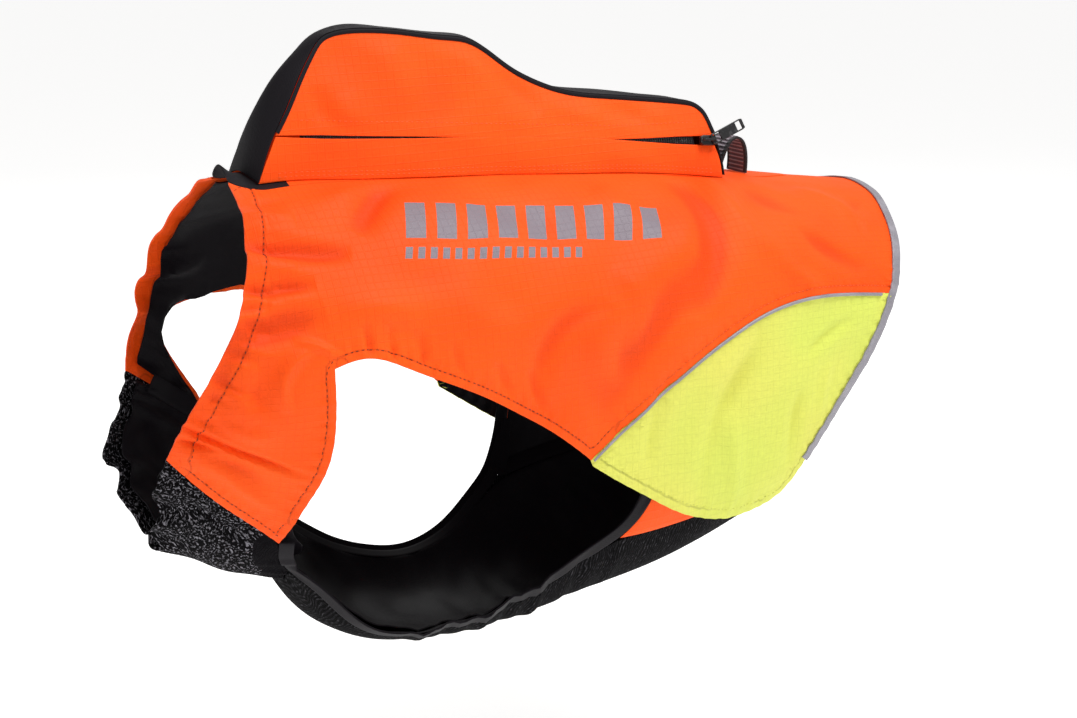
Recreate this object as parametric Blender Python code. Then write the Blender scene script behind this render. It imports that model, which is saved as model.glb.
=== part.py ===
"""A protective vest for a large dog, in the hollow shape that it has when it is worn.

The head is towards -X, the left flank faces -Y and +Z is up. The origin is on the inner
face of the black back panel, in the middle of the back, where the dog carries the vest.

Sizes are in millimetres. Every piece of cloth lies on one drawn form, a row of rings round
the body. A place on that form is given by two numbers: "ring", which is 0 at the neck edge
and 7 at the tail edge, and "round", which is 0 on the spine and 1 on the breast line.
"""

import math

import bmesh
import bpy
import numpy as np

MM = 0.001

# ---------------------------------------------------------------- driving sizes

SHELL = 1.2  # coated orange and yellow shell cloth
LINING = 1.0  # smooth black lining
KNIT = 2.0  # cut-resistant knit of the chest and the belly
BAND = 1.4  # smooth binding round the lower half of each armhole
WEBBING = 1.6
SEAM_GAP = 0.3
LOOSE_GAP = 0.9  # how far the lining hangs clear of its shell
HEM_INSET = 8.0  # the lining stops this far short of a turned hem

BACK_INSIDE = 4.2  # drawn height of the back panel's inner face above the origin

# The rings. "wide" is the share of the height at which a ring is widest, the two "full"
# columns say how square it is above and below that, and "bow" pushes it forwards.
RING_COLUMNS = (
    "top_x", "top_z", "low_x", "low_z", "half_width", "wide", "full_top", "full_low", "bow"
)
RINGS = np.array([
    (-184, 13, -240, -226, 98, 0.34, 1.6, 1.3, 30),  # neck edge
    (-142, 15, -172, -254, 108, 0.38, 1.7, 2.0, 0),  # shoulder and breast
    (-100, 12, -114, -305, 111, 0.35, 1.9, 2.5, 0),  # behind the forelegs
    (-35, 8, -35, -318, 112, 0.34, 2.0, 2.5, 0),
    (45, 2, 45, -307, 112, 0.34, 2.1, 2.5, 0),
    (120, -4, 120, -295, 112, 0.36, 2.2, 2.5, 0),
    (205, -16, 180, -274, 109, 0.37, 2.2, 2.4, 0),
    (319, -31, 190, -265, 102, 0.38, 1.9, 2.2, -1),  # tail edge
], float)
BOW_POWER = 1.7  # puts the most forward part of a bowed ring low on the chest
ROUND_MM = 420.0  # length of half a ring, for distances along "round"
RING_MM = 76.0  # usual distance from one ring to the next
BODY_CORE = -120.0  # height of the middle of the body

# Rings at the ends of the seam's stretches: strap, armhole, piping and tail.
STRAP_RING, ARMHOLE_RING, SPINE_POINT_RING, TAIL_RING = 0.9, 3.6, 6.3, 7.0

# Half width of the black back panel, by ring. It ends in a point behind the pocket.
SPINE_EDGE = np.array([
    # ring, half_width
    (0.0, 15.0), (0.2, 25.0), (0.45, 30.0), (1.0, 30.0), (3.5, 30.0), (5.6, 30.0),
    (5.95, 19.0), (SPINE_POINT_RING, 1.5),
])

# Outlines of the side panels, as (ring, round). Left and right differ, because the left
# shoulder strap lies flat while the right one is drawn in by its neck elastic.
STRAP_REAR = {
    "left": [(0.95, 0.435), (1.0, 0.49), (1.04, 0.54), (1.02, 0.60), (0.96, 0.66), (0.83, 0.79)],
    "right": [(0.85, 0.43), (0.54, 0.47), (0.48, 0.52), (0.65, 0.57), (0.82, 0.61), (1.0, 0.67)],
}
STRAP_END = {
    "left": [(0.0, 0.68), (0.25, 0.72), (0.53, 0.76), (0.83, 0.79)],
    "right": [(0.2, 0.60), (0.45, 0.62), (0.75, 0.65), (1.0, 0.67)],
}
NECK_DRAWN_IN = 0.2  # how far, in rings, the elastic draws in the right end of the neck edge
ARMHOLE_TOP = [
    (1.12, 0.415), (1.4, 0.397), (1.65, 0.39), (2.0, 0.395), (2.65, 0.43), (3.33, 0.50),
    (3.7, 0.56),
]
PIPING_LINE = [(3.7, 0.56), (4.17, 0.505), (4.6, 0.455), (5.03, 0.415), (5.5, 0.38),
               (6.0, 0.362), (6.5, 0.355), (7.0, 0.35)]
FLAP_HEM = [(3.72, 0.57), (4.15, 0.63), (4.75, 0.70), (5.2, 0.737), (5.6, 0.754),
            (5.95, 0.762), (6.2, 0.748), (6.35, 0.718), (6.44, 0.685)]
TAIL_EDGE = [(7.0, 0.35), (7.0, 0.43), (6.97, 0.50), (6.86, 0.57), (6.66, 0.63), (6.44, 0.685)]
STRAP_TOP = 0.42  # round, where the strap leaves the body of the side panel

# Edges of the knit, with the armhole binding beyond them.
KNIT_EDGE = {
    "left": [(0.83, 0.79), (0.9, 0.84), (1.05, 0.875), (1.3, 0.86), (1.6, 0.865), (2.0, 0.87),
             (2.5, 0.865), (3.0, 0.84), (3.5, 0.79), (4.15, 0.725)],
    "right": [(1.0, 0.67), (1.1, 0.72), (1.25, 0.745), (1.6, 0.765), (2.0, 0.78), (2.5, 0.815),
              (3.0, 0.835), (3.5, 0.82), (3.85, 0.785), (4.15, 0.745)],
}
NOTCH_ROW = {"left": 2, "right": 2}  # the row where the chest knit is sewn to the belly knit
GUSSET_FRONT = [(4.15, 0.725), (4.3, 0.70), (4.4, 0.66), (4.48, 0.60), (4.5, 0.57)]
BELLY_REAR_RING = 6.2
BACK_PUCKER, BACK_PUCKER_FADE = 8.0, 9.0  # the back panel's neck edge is pushed up by elastic
GUSSET_SEAM_ROUND = 0.73
GUSSET_TOP_ROUND = 0.57
BAND_WIDTH = 10.0

TAIL_TAPE, TAIL_TAPE_GAP, TAIL_TAPE_THICK = 5.5, 0.5, 0.9
FLAP_HANG = 16.0  # how far the lower edge of the flaps hangs out from the belly
HANG_ROUND, HANG_ROUND_OVER = 0.48, 0.3  # where the hang begins, and how far it takes to grow
HANG_RING, HANG_RING_OVER = 2.8, 1.5
GUSSET_CLEAR = 0.5  # between a gusset's upper edge and the flap that covers it

# The lining's edges, drawn in from the knit's: beside the armholes, at the neck, at the seam.
KNIT_LINING_SIDE, KNIT_LINING_NECK, KNIT_LINING_SEAM = 4.0, 7.0, 4.0
BELLY_LINING_SIDE = 6.0  # under the right armhole, where the knit curls over
PIPING_PROFILE = [(-1.6, 0.5), (-1.0, 1.5), (1.0, 1.5), (1.6, 0.5)]  # across the seam, out
BELLY_REAR_BOW = [(0.1, 0.87), (0.12, 1.0), (0.1, 1.13)]  # rings behind the last ring, round

# The pocket on the back, seen from the left as (x, z). The walls lean in to its narrow top.
POCKET_FRONT = [(-168, 16), (-160, 29), (-155, 38), (-147, 50), (-132, 75), (-116, 96)]
POCKET_TOP = [
    (-116, 96), (-98, 99), (-65, 97), (-36, 92), (-14, 90), (-2, 83), (18, 68), (41, 57),
    (64, 50), (105, 45), (138, 41), (160, 38),
]
POCKET_REAR = [(160, 38), (169, 31), (174, 12), (177, 0)]
POCKET_BASE_END = 179.0
ZIP_LINE = [(-155, 38), (-72, 32), (-14, 28), (47, 23), (110, 17), (174, 12)]
FRONT_ZIP_ROW, REAR_ZIP_ROW = 2, 2  # rows of the front and rear edges where the zip meets them
POCKET_HALF_BASE, POCKET_HALF_FRONT, POCKET_HALF_REAR = 30.0, 7.0, 16.0
POCKET_NOSE, POCKET_NOSE_LONG = 0.8, 70.0  # the front end narrows to this share, over this length
POCKET_LEAN_POWER = 1.5
BACK_SLOPE, BACK_LEVEL = -0.068, 4.5  # the straight line that the back follows under the pocket
POCKET_FOOT = 0.6  # clearance between the pocket's walls and the panels they are sewn to
GUSSET_BULGE = 9.0  # how far the black front of the pocket stands forward of the side walls
REAR_BULGE = 3.0
ZIP_GAPE, ZIP_CLOSED = 3.4, 0.8  # the zip shows at both ends and is covered in the middle
ZIP_TAPE_WIDTH, ZIP_TAPE_THICK = 14.0, 0.8

SLIDER_AT = (166.5, 12.2)  # x, z of the middle of the slider
ZIP_SLOPE = -0.08  # fall of the zip line per length, at the slider
SLIDER_LONG, SLIDER_WIDE, SLIDER_THICK, SLIDER_CLEAR = 13.0, 7.0, 3.0, 0.7
BRIDGE_LONG, BRIDGE_WIDE, BRIDGE_CLEAR, BRIDGE_THICK = 8.6, 1.8, 2.2, 1.0
BRIDGE_ROOT, BRIDGE_CHAMFER = 0.5, 0.4  # its feet sink this far into the body
TAB_PIVOT = 2.6  # how far behind the middle of the slider the tab is held
TAB_LONG, TAB_WIDE, TAB_THICK = 30.0, 8.0, 1.2
TAB_BAR, TAB_EYE, TAB_RAIL = 1.2, 7.4, 1.0  # its first bar, the eye's far end, its side rails
TAB_HOLE, TAB_END_BAR = 7.0, 2.2  # from the tab's tip to the ends of the hole for a cord
TAB_END_NARROW = 0.85
TAB_TILT = math.radians(24)

LOOP_PATH = [(190, -13.5), (193, -5), (196.5, 3), (201, 8.5), (206, 9.5), (210, 5.5), (212, -1),
             (212.5, -9), (212, -15.0)]
LOOP_WIDE = 23.0

# Counts of grid cells.
LOOP_CELLS = 14
POCKET_CELLS, ZIP_BAND_CELLS, POCKET_WALL_CELLS = 20, 2, 6
STRAP_CELLS, ARM_CELLS, PIPING_CELLS, TAIL_CELLS = 8, 12, 8, 4
DOWN_CELLS, STRAP_DOWN_CELLS = 14, 10
FLAP_DOWN_CELLS = 7
CHEST_SIDE_CELLS, BREAST_CELLS = 4, 14
BELLY_ARM_CELLS, BELLY_REAR_CELLS = 14, 8
GUSSET_CELLS = 4


# ---------------------------------------------------------------- the drawn form

def through_rows(rows, at):
    """The smooth curve through evenly numbered rows, read at a row number."""
    last = len(rows) - 1
    at = min(max(at, 0.0), float(last))
    i = min(int(at), last - 1)
    t = at - i
    before = rows[i - 1] if i > 0 else 2 * rows[i] - rows[i + 1]
    after = rows[i + 2] if i + 2 <= last else 2 * rows[i + 1] - rows[i]
    slope_a = (rows[i + 1] - before) / 2
    slope_b = (after - rows[i]) / 2
    return (
        (2 * t**3 - 3 * t**2 + 1) * rows[i]
        + (t**3 - 2 * t**2 + t) * slope_a
        + (3 * t**2 - 2 * t**3) * rows[i + 1]
        + (t**3 - t**2) * slope_b
    )


SWEEP = np.radians(np.linspace(0, 180, 121))


def section(ring):
    """One half ring, from the spine to the breast line, with the share of its length."""
    size = dict(zip(RING_COLUMNS, through_rows(RINGS, ring)))
    sine = np.sin(SWEEP).clip(0)
    cosine = np.abs(np.cos(SWEEP))
    upper = SWEEP <= math.pi / 2
    wide, top, low = size["wide"], size["full_top"], size["full_low"]
    y = size["half_width"] * np.where(upper, sine ** (2 / top), sine ** (2 / low))
    down = np.where(upper, wide * (1 - cosine ** (2 / top)),
                    wide + (1 - wide) * cosine ** (2 / low))
    bow = size["bow"] * np.sin(math.pi * down ** (BOW_POWER if size["bow"] > 0 else 1.0))
    x = size["top_x"] + (size["low_x"] - size["top_x"]) * down - bow
    z = size["top_z"] + (size["low_z"] - size["top_z"]) * down
    points = np.stack([x, y, z], axis=1)
    length = np.concatenate([[0], np.linalg.norm(np.diff(points, axis=0), axis=1).cumsum()])
    return points, length / length[-1]


def on_body(ring, around, side):
    """The point of the drawn form at a ring and a share of the way round it."""
    points, share = section(ring)
    x, y, z = (np.interp(around, share, points[:, k]) for k in range(3))
    return np.array([x, y * side, z])


def round_at(ring, half_width):
    """The share of the way round at which the form's top is this wide."""
    points, share = section(ring)
    return float(np.interp(half_width, points[:60, 1], share[:60]))


def form_grid(places, side):
    """Points for a grid of (ring, round) places. Round below 0 is on the other flank."""
    shape = places.shape[:2]
    points = np.full(shape + (3,), np.nan)
    for i in range(shape[0]):
        for j in range(shape[1]):
            ring, around = places[i, j]
            if np.isnan(ring):
                continue
            flank = side
            if around < 0:
                around, flank = -around, -side
            if around > 1:
                around, flank = 2 - around, -side
            points[i, j] = on_body(ring, around, flank)
    return points


# ---------------------------------------------------------------- outlines and grids

def spaced(rows, cells):
    """A smooth line through (ring, round) rows, cut into even lengths."""
    rows = np.array(rows, float)
    fine = np.array([through_rows(rows, k) for k in np.linspace(0, len(rows) - 1, 20 * len(rows))])
    step = np.diff(fine, axis=0) * (RING_MM, ROUND_MM)
    length = np.concatenate([[0], np.linalg.norm(step, axis=1).cumsum()])
    at = np.linspace(0, length[-1], cells + 1)
    return np.stack([np.interp(at, length, fine[:, k]) for k in range(2)], axis=1)


def joined(*lines):
    """Lines that meet end to end, as one."""
    return np.concatenate([lines[0]] + [line[1:] for line in lines[1:]])


def patch(first, last, start, end):
    """A grid between four edges: rows run from `first` to `last`, columns from start to end."""
    rows, columns = len(start), len(first)
    grid = np.zeros((columns, rows, 2))
    for i in range(columns):
        for j in range(rows):
            u, w = i / (columns - 1), j / (rows - 1)
            sides = (1 - w) * first[i] + w * last[i] + (1 - u) * start[j] + u * end[j]
            corners = ((1 - u) * (1 - w) * first[0] + u * (1 - w) * first[-1]
                       + (1 - u) * w * last[0] + u * w * last[-1])
            grid[i, j] = sides - corners
    return grid


def used_cells(points):
    """Which grid cells have all four corners."""
    there = ~np.isnan(points[..., 0])
    return there[:-1, :-1] & there[1:, :-1] & there[:-1, 1:] & there[1:, 1:]


def grid_normals(points, cells, inside):
    """Unit normals at the grid's points, turned away from the line of points `inside`."""
    normals = np.zeros_like(points)
    for i, j in zip(*np.nonzero(cells)):
        a, b, c, d = points[i, j], points[i + 1, j], points[i + 1, j + 1], points[i, j + 1]
        across = np.cross(c - a, d - b)
        size = np.linalg.norm(across)
        if size > 1e-9:
            for m, n in ((i, j), (i + 1, j), (i + 1, j + 1), (i, j + 1)):
                normals[m, n] += across / size
    size = np.linalg.norm(normals, axis=-1, keepdims=True)
    normals = normals / np.where(size > 0, size, 1)
    outward = np.nansum(normals * (points - inside))
    return normals if outward > 0 else -normals


def trimmed(points, cells, trim):
    """The grid with each of its edges drawn in by `trim`."""
    out = points.copy()
    columns, rows = points.shape[:2]
    along = np.zeros((columns - 1, rows), bool)
    along[:, :-1] |= cells
    along[:, 1:] |= cells
    down = np.zeros((columns, rows - 1), bool)
    down[:-1] |= cells
    down[1:] |= cells
    for i in range(columns):
        for j in range(rows):
            for back, ahead, step in (
                (i > 0 and along[i - 1, j], i < columns - 1 and along[i, j], (1, 0)),
                (j > 0 and down[i, j - 1], j < rows - 1 and down[i, j], (0, 1)),
            ):
                if back == ahead:
                    continue
                sign = 1 if ahead else -1
                towards = points[i + sign * step[0], j + sign * step[1]] - points[i, j]
                out[i, j] += trim * towards / np.linalg.norm(towards)
    return out


# ---------------------------------------------------------------- folds

# Soft troughs (negative depth) and ridges that run along a line on the cloth, and fade to
# nothing at its ends. Places are (ring, round); width and depth are in millimetres.
FOLD_COLUMNS = ("ring_a", "round_a", "ring_b", "round_b", "width", "depth")
FOLDS = {
    "left": [
        (5.9, 0.10, 4.2, 0.34, 16, 3.0),  # drag line from the pocket's end, down and forwards
        (5.5, 0.08, 3.6, 0.30, 14, -3.0),
        (2.7, 0.20, 3.3, 0.44, 13, -3.0),  # arc in front of the flap
        (0.35, 0.655, 0.95, 0.70, 6, -4.0),  # buckle across the strap
        (0.05, 0.61, 0.6, 0.64, 5, -4.5),
        (0.1, 0.655, 0.5, 0.675, 5, 4.0),
        (0.15, 0.40, 1.0, 0.37, 9, -4.0),  # crease from the neck to the armhole
        (0.7, 0.47, 0.3, 0.58, 12, 3.0),
        (1.5, 0.37, 2.3, 0.33, 8, -4.0),  # pucker over the armhole
        (1.2, 0.34, 2.0, 0.30, 10, 3.0),
        (6.9, 0.45, 6.0, 0.40, 8, -3.0),  # near the tail edge of the yellow flap
        (6.6, 0.60, 5.3, 0.45, 16, 3.0),
    ],
    "right": [
        (5.8, 0.12, 4.3, 0.30, 15, 3.0),
        (5.2, 0.10, 3.4, 0.33, 15, -3.0),
        (2.5, 0.22, 3.1, 0.40, 12, -2.5),
        (0.1, 0.47, 0.45, 0.50, 5, -4.0),
        (0.1, 0.36, 0.9, 0.36, 9, -3.5),
        (1.6, 0.36, 2.5, 0.34, 9, -3.5),
        (6.9, 0.50, 6.1, 0.42, 9, -2.5),
        (6.5, 0.58, 5.4, 0.48, 15, 3.0),
    ],
    "knit": [
        (1.1, 0.86, 1.15, 1.10, 7, -6.0),  # notch under the breast, between the forelegs
        (0.7, 0.84, 0.6, 1.10, 16, 5.0),
        (1.6, 0.90, 1.55, 1.10, 16, 4.0),
        (0.05, 0.76, 0.6, 0.82, 5, -5.0),
        (0.05, 0.90, 0.5, 0.92, 6, 5.0),
        (0.05, 1.12, 0.45, 1.15, 6, -5.0),
        (2.3, 0.90, 3.0, 0.98, 9, -2.0),
    ],
}
NECK_WAVES = {  # height, length and start of the ruffle along each neck edge
    "left": (2.6, 50.0, 0.4), "right": (2.6, 46.0, 2.0), "knit": (4.0, 50.0, 1.0),
}
WAVE_FADE = 16.0  # the neck elastic's ruffle dies away over this distance


def fold_height(kind, ring, around):
    """How far the cloth stands out from the drawn form at one place."""
    here = np.array([ring * RING_MM, around * ROUND_MM])
    height = 0.0
    for row in FOLDS[kind]:
        fold = dict(zip(FOLD_COLUMNS, row))
        a = np.array([fold["ring_a"] * RING_MM, fold["round_a"] * ROUND_MM])
        b = np.array([fold["ring_b"] * RING_MM, fold["round_b"] * ROUND_MM])
        t = float(np.dot(here - a, b - a) / np.dot(b - a, b - a))
        aside = np.linalg.norm(here - a - (b - a) * min(max(t, 0), 1))
        lengthwise = math.sin(math.pi * min(max(0.15 + 0.7 * t, 0), 1))
        height += fold["depth"] * lengthwise * math.exp(-(aside / fold["width"]) ** 2)
    size, wave, phase = NECK_WAVES[kind]
    turn = 2 * math.pi * around * ROUND_MM / wave + phase
    ruffle = size * (0.7 * math.sin(turn) + 0.3 * math.sin(1.63 * turn))
    from_neck = (ring - neck_ring(kind, around)) * RING_MM
    return height + ruffle * math.exp(-(from_neck / WAVE_FADE) ** 2)


def fold_grid(kind, places):
    """fold_height over a grid of places."""
    heights = np.zeros(places.shape[:2])
    for i, j in zip(*np.nonzero(~np.isnan(places[..., 0]))):
        heights[i, j] = fold_height(kind, *places[i, j])
    return heights


def ease(share):
    """0 to 1 with flat ends."""
    share = min(max(share, 0.0), 1.0)
    return share * share * (3 - 2 * share)


def hang(ring, around):
    """How far the flap hangs out sideways from the drawn form."""
    lowered = ease((around - HANG_ROUND) / HANG_ROUND_OVER)
    return FLAP_HANG * lowered * ease((ring - HANG_RING) / HANG_RING_OVER)


# ---------------------------------------------------------------- solids

PAINT = {
    # name: (red, green, blue, roughness, metallic)
    "orange_shell": (1.0, 0.13, 0.02, 0.65, 0.0),
    "yellow_shell": (0.72, 0.74, 0.12, 0.65, 0.0),
    "black_shell": (0.012, 0.011, 0.014, 0.6, 0.0),
    "black_lining": (0.008, 0.007, 0.010, 0.7, 0.0),
    "grey_knit": (0.035, 0.035, 0.038, 0.9, 0.0),
    "reflective_grey": (0.33, 0.32, 0.35, 0.45, 0.1),
    "webbing_grey": (0.17, 0.16, 0.17, 0.8, 0.0),
    "black_zip": (0.01, 0.01, 0.012, 0.45, 0.0),
}


def painted(name, kind):
    material = bpy.data.materials.new(name)
    material.use_nodes = True
    shader = material.node_tree.nodes["Principled BSDF"]
    red, green, blue, roughness, metallic = PAINT[kind]
    shader.inputs["Base Color"].default_value = (red, green, blue, 1)
    shader.inputs["Roughness"].default_value = roughness
    shader.inputs["Metallic"].default_value = metallic
    material.diffuse_color = (red, green, blue, 1)
    return material


def add_solid(name, points, faces, kind, origin=(0.0, 0.0, 0.0)):
    """An object from drawn points in millimetres, with its faces turned outwards."""
    origin = np.array(origin, float)
    mesh = bpy.data.meshes.new(name)
    place = (np.array(points) - origin) * MM
    mesh.from_pydata([tuple(p) for p in place], [], faces)
    tidy = bmesh.new()
    tidy.from_mesh(mesh)
    bmesh.ops.recalc_face_normals(tidy, faces=tidy.faces)
    tidy.to_mesh(mesh)
    tidy.free()
    mesh.materials.append(painted(name + "_paint", kind))
    solid = bpy.data.objects.new(name, mesh)
    solid.location = (origin - (0, 0, BACK_INSIDE)) * MM
    bpy.context.collection.objects.link(solid)
    return solid


def wall(name, outer, inner, cells, kind, origin=(0.0, 0.0, 0.0)):
    """A closed wall of cloth between two matching grids of points."""
    number = -np.ones(outer.shape[:2], int)
    points = []
    for i, j in np.ndindex(*number.shape):
        touched = cells[max(i - 1, 0):i + 1, max(j - 1, 0):j + 1]
        if touched.any():
            number[i, j] = len(points) // 2
            points += [outer[i, j], inner[i, j]]
    faces = []
    rim = {}
    for i, j in zip(*np.nonzero(cells)):
        corners = [number[i, j], number[i + 1, j], number[i + 1, j + 1], number[i, j + 1]]
        a, b, c, d = (2 * k for k in corners)
        faces += [(a, b, c), (a, c, d), (c + 1, b + 1, a + 1), (d + 1, c + 1, a + 1)]
        for edge in ((a, b), (b, c), (c, d), (d, a)):
            if edge[::-1] in rim:
                del rim[edge[::-1]]
            else:
                rim[edge] = True
    for a, b in rim:
        faces += [(b, a, a + 1), (b, a + 1, b + 1)]
    return add_solid(name, points, faces, kind, origin)


def body_line(points):
    """Points inside the body, level with the given ones."""
    inside = points.copy()
    inside[..., 1] = 0
    inside[..., 2] = BODY_CORE
    return inside


def drape(places, side, kind):
    """Points of a cloth's outer face: the drawn form, the hang of a flap, and the folds."""
    base = form_grid(places, side)
    cells = used_cells(base)
    if kind in ("left", "right"):
        for i, j in zip(*np.nonzero(~np.isnan(base[..., 0]))):
            base[i, j, 1] += side * hang(*places[i, j])
    normals = grid_normals(base, cells, body_line(base))
    heights = fold_grid(kind, places)
    return base, normals, heights, cells


def sew(name, places, side, kind, thickness, paint):
    """One piece of cloth cut to a grid of places. Returns its outer points and normals."""
    base, normals, heights, cells = drape(places, side, kind)
    outer = trimmed(base + normals * heights[..., None], cells, SEAM_GAP / 2)
    facing = grid_normals(outer, cells, body_line(outer))
    wall(name, outer, outer - facing * thickness, cells, paint)
    return outer, facing


def sew_lining(name, places, side, kind, shell, insets):
    """A lining of every second point, kept inside the deepest fold round each of them."""
    base, normals, heights, _ = drape(places, side, kind)
    columns, rows = range(0, base.shape[0], 2), range(0, base.shape[1], 2)
    coarse = base[::2, ::2]
    cells = used_cells(coarse)
    points = np.full(coarse.shape, np.nan)
    for m, i in enumerate(columns):
        for n, j in enumerate(rows):
            if np.isnan(base[i, j, 0]):
                continue
            near = heights[max(i - 2, 0):i + 3, max(j - 2, 0):j + 3]
            deep = min(near.min(), 0.0)
            points[m, n] = base[i, j] + normals[i, j] * (deep - shell - LOOSE_GAP)
    points = inset_sides(points, cells, insets)
    facing = grid_normals(points, cells, body_line(points))
    wall(name, points, points - facing * LINING, cells, "black_lining")


def inset_sides(points, cells, insets):
    """Draws in the start, end, first and last edges of a grid by four distances."""
    out = points.copy()
    start, end, first, last = insets
    columns, rows = points.shape[:2]
    there = ~np.isnan(points[..., 0])
    for i, j in zip(*np.nonzero(there)):
        moves = (
            (start, 1, 0, i == 0 or not there[i - 1, j]),
            (end, -1, 0, i == columns - 1 or not there[i + 1, j]),
            (first, 0, 1, j == 0 or not there[i, j - 1]),
            (last, 0, -1, j == rows - 1 or not there[i, j + 1]),
        )
        for distance, di, dj, at_edge in moves:
            if at_edge and 0 <= i + di < columns and 0 <= j + dj < rows:
                towards = points[i + di, j + dj] - points[i, j]
                out[i, j] += distance * towards / np.linalg.norm(towards)
    return out


def swept(name, frames, profile, kind):
    """A closed bar: a profile of (across, out) sizes carried along a row of frames."""
    points = []
    for spot, across, out in frames:
        points += [spot + across * a + out * b for a, b in profile]
    count, last = len(profile), len(frames) - 1
    faces = []
    for k in range(last):
        for m in range(count):
            a, b = k * count + m, k * count + (m + 1) % count
            faces += [(a, b, b + count), (a, b + count, a + count)]
    for m in range(1, count - 1):
        faces.append((0, m + 1, m))
        faces.append((last * count, last * count + m, last * count + m + 1))
    return add_solid(name, points, faces, kind)


# ---------------------------------------------------------------- side panels and flaps

def back_seam(rings):
    """The edge of the back panel at these rings, as (ring, round)."""
    widths = np.interp(rings, SPINE_EDGE[:, 0], SPINE_EDGE[:, 1], right=0.0)
    return np.array([(r, round_at(r, w) if w > 0 else 0.0) for r, w in zip(rings, widths)])


def seam_rings():
    """The rings at which the back seam is cut into cells."""
    return np.concatenate([
        np.linspace(0, STRAP_RING, STRAP_CELLS + 1),
        np.linspace(STRAP_RING, ARMHOLE_RING, ARM_CELLS + 1)[1:],
        np.linspace(ARMHOLE_RING, SPINE_POINT_RING, PIPING_CELLS + 1)[1:],
        np.linspace(SPINE_POINT_RING, TAIL_RING, TAIL_CELLS + 1)[1:],
    ])


def neck_ring(kind, around):
    """The ring of the neck edge, which is 0 but for the right flank."""
    if kind == "right":
        return NECK_DRAWN_IN * ease((around - 0.1) / 0.5)
    if kind == "knit":
        return NECK_DRAWN_IN * ease((around - 1.2) / 0.2)
    return 0.0


def side_places(flank):
    """The orange side panel as one L of (ring, round) places: body first, then strap."""
    top = back_seam(seam_rings())
    corner = STRAP_REAR[flank][0]
    neck_top = (neck_ring(flank, STRAP_TOP), STRAP_TOP)
    strap_top = spaced([neck_top, (corner[0] / 2, (STRAP_TOP + corner[1]) / 2), corner],
                       STRAP_CELLS)
    armhole = spaced([corner] + ARMHOLE_TOP, ARM_CELLS)
    piping = spaced(PIPING_LINE, PIPING_CELLS + TAIL_CELLS)
    low = joined(strap_top, armhole, piping)
    neck = np.array([(neck_ring(flank, r), r)
                     for r in np.linspace(top[0][1], STRAP_TOP, DOWN_CELLS + 1)])
    tail = np.array([(TAIL_RING, r) for r in np.linspace(0, PIPING_LINE[-1][1], DOWN_CELLS + 1)])
    body = patch(top, low, neck, tail)
    strap_neck = np.array([
        (neck_ring(flank, r), r)
        for r in np.linspace(STRAP_TOP, STRAP_END[flank][0][1], STRAP_DOWN_CELLS + 1)
    ])
    strap = patch(strap_top, spaced(STRAP_END[flank], STRAP_CELLS), strap_neck,
                  spaced(STRAP_REAR[flank], STRAP_DOWN_CELLS))
    places = np.full((len(top), DOWN_CELLS + STRAP_DOWN_CELLS + 1, 2), np.nan)
    places[:, :DOWN_CELLS + 1] = body
    places[:STRAP_CELLS + 1, DOWN_CELLS:] = strap
    return places


def flap_places():
    """The yellow flap between the piping, the tail edge and its own hem."""
    piping = spaced(PIPING_LINE, PIPING_CELLS + TAIL_CELLS)
    hem = spaced(FLAP_HEM, PIPING_CELLS + TAIL_CELLS)
    tip = spaced([PIPING_LINE[0], FLAP_HEM[0]], FLAP_DOWN_CELLS)
    return patch(piping, hem, tip, spaced(TAIL_EDGE, FLAP_DOWN_CELLS))


def add_side(flank, side):
    places = side_places(flank)
    shell, facing = sew("side_" + flank, places, side, flank, SHELL, "orange_shell")
    sew_lining("lining_" + flank, places, side, flank, SHELL, (HEM_INSET, HEM_INSET, 1, HEM_INSET))
    flap, flap_facing = sew("flap_" + flank, flap_places(), side, flank, SHELL, "yellow_shell")
    add_piping(flank, shell, flap, flap_facing)
    return (shell, facing), (flap, flap_facing)


def add_piping(flank, shell, flap, facing):
    """A flat reflective cord over the seam between orange and yellow."""
    frames = []
    start = STRAP_CELLS + ARM_CELLS
    for k in range(1, flap.shape[0]):
        above = shell[start + k, DOWN_CELLS]
        below = flap[k, 0]
        out = facing[k, 0]
        across = flap[k, 1] - flap[k, 0]
        across -= out * np.dot(across, out)
        across /= np.linalg.norm(across)
        frames.append(((above + below) / 2, across, out))
    swept("piping_" + flank, frames[:-1], PIPING_PROFILE, "reflective_grey")


def add_tail_binding(left, right):
    """The reflective tape folded over the tail edge, from the left flap over the back to
    the right flap."""
    halves = []
    for (shell, facing), (flap, flap_facing) in (left, right):
        rows = [(shell, facing, j) for j in range(DOWN_CELLS + 1)]
        rows += [(flap, flap_facing, j) for j in range(1, FLAP_DOWN_CELLS + 1)]
        halves.append([(grid[-1, j], outs[-1, j]) for grid, outs, j in rows])
    edge = halves[0][::-1] + halves[1]
    spots = np.array([spot for spot, _ in edge])
    outs = np.array([out for _, out in edge])
    into = across_edge(spots, outs, forwards=True)
    tape, near, far = TAIL_TAPE, TAIL_TAPE_GAP, TAIL_TAPE_GAP + TAIL_TAPE_THICK
    profile = [
        (tape, near), (tape, far), (-far, far), (-far, -SHELL - far),
        (tape, -SHELL - far), (tape, -SHELL - near), (-near, -SHELL - near), (-near, near),
    ]
    swept("tail_binding", list(zip(spots, into, outs)), profile, "reflective_grey")


def across_edge(spots, outs, forwards):
    """Unit directions in the cloth, square to its edge: towards -X, or else upwards."""
    along = np.gradient(spots, axis=0)
    across = np.cross(along, outs)
    across /= np.linalg.norm(across, axis=1, keepdims=True)
    middle = across[len(across) // 2]
    turned = middle[0] > 0 if forwards else middle[2] < 0
    return -across if turned else across


# ---------------------------------------------------------------- back, chest and belly

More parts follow.
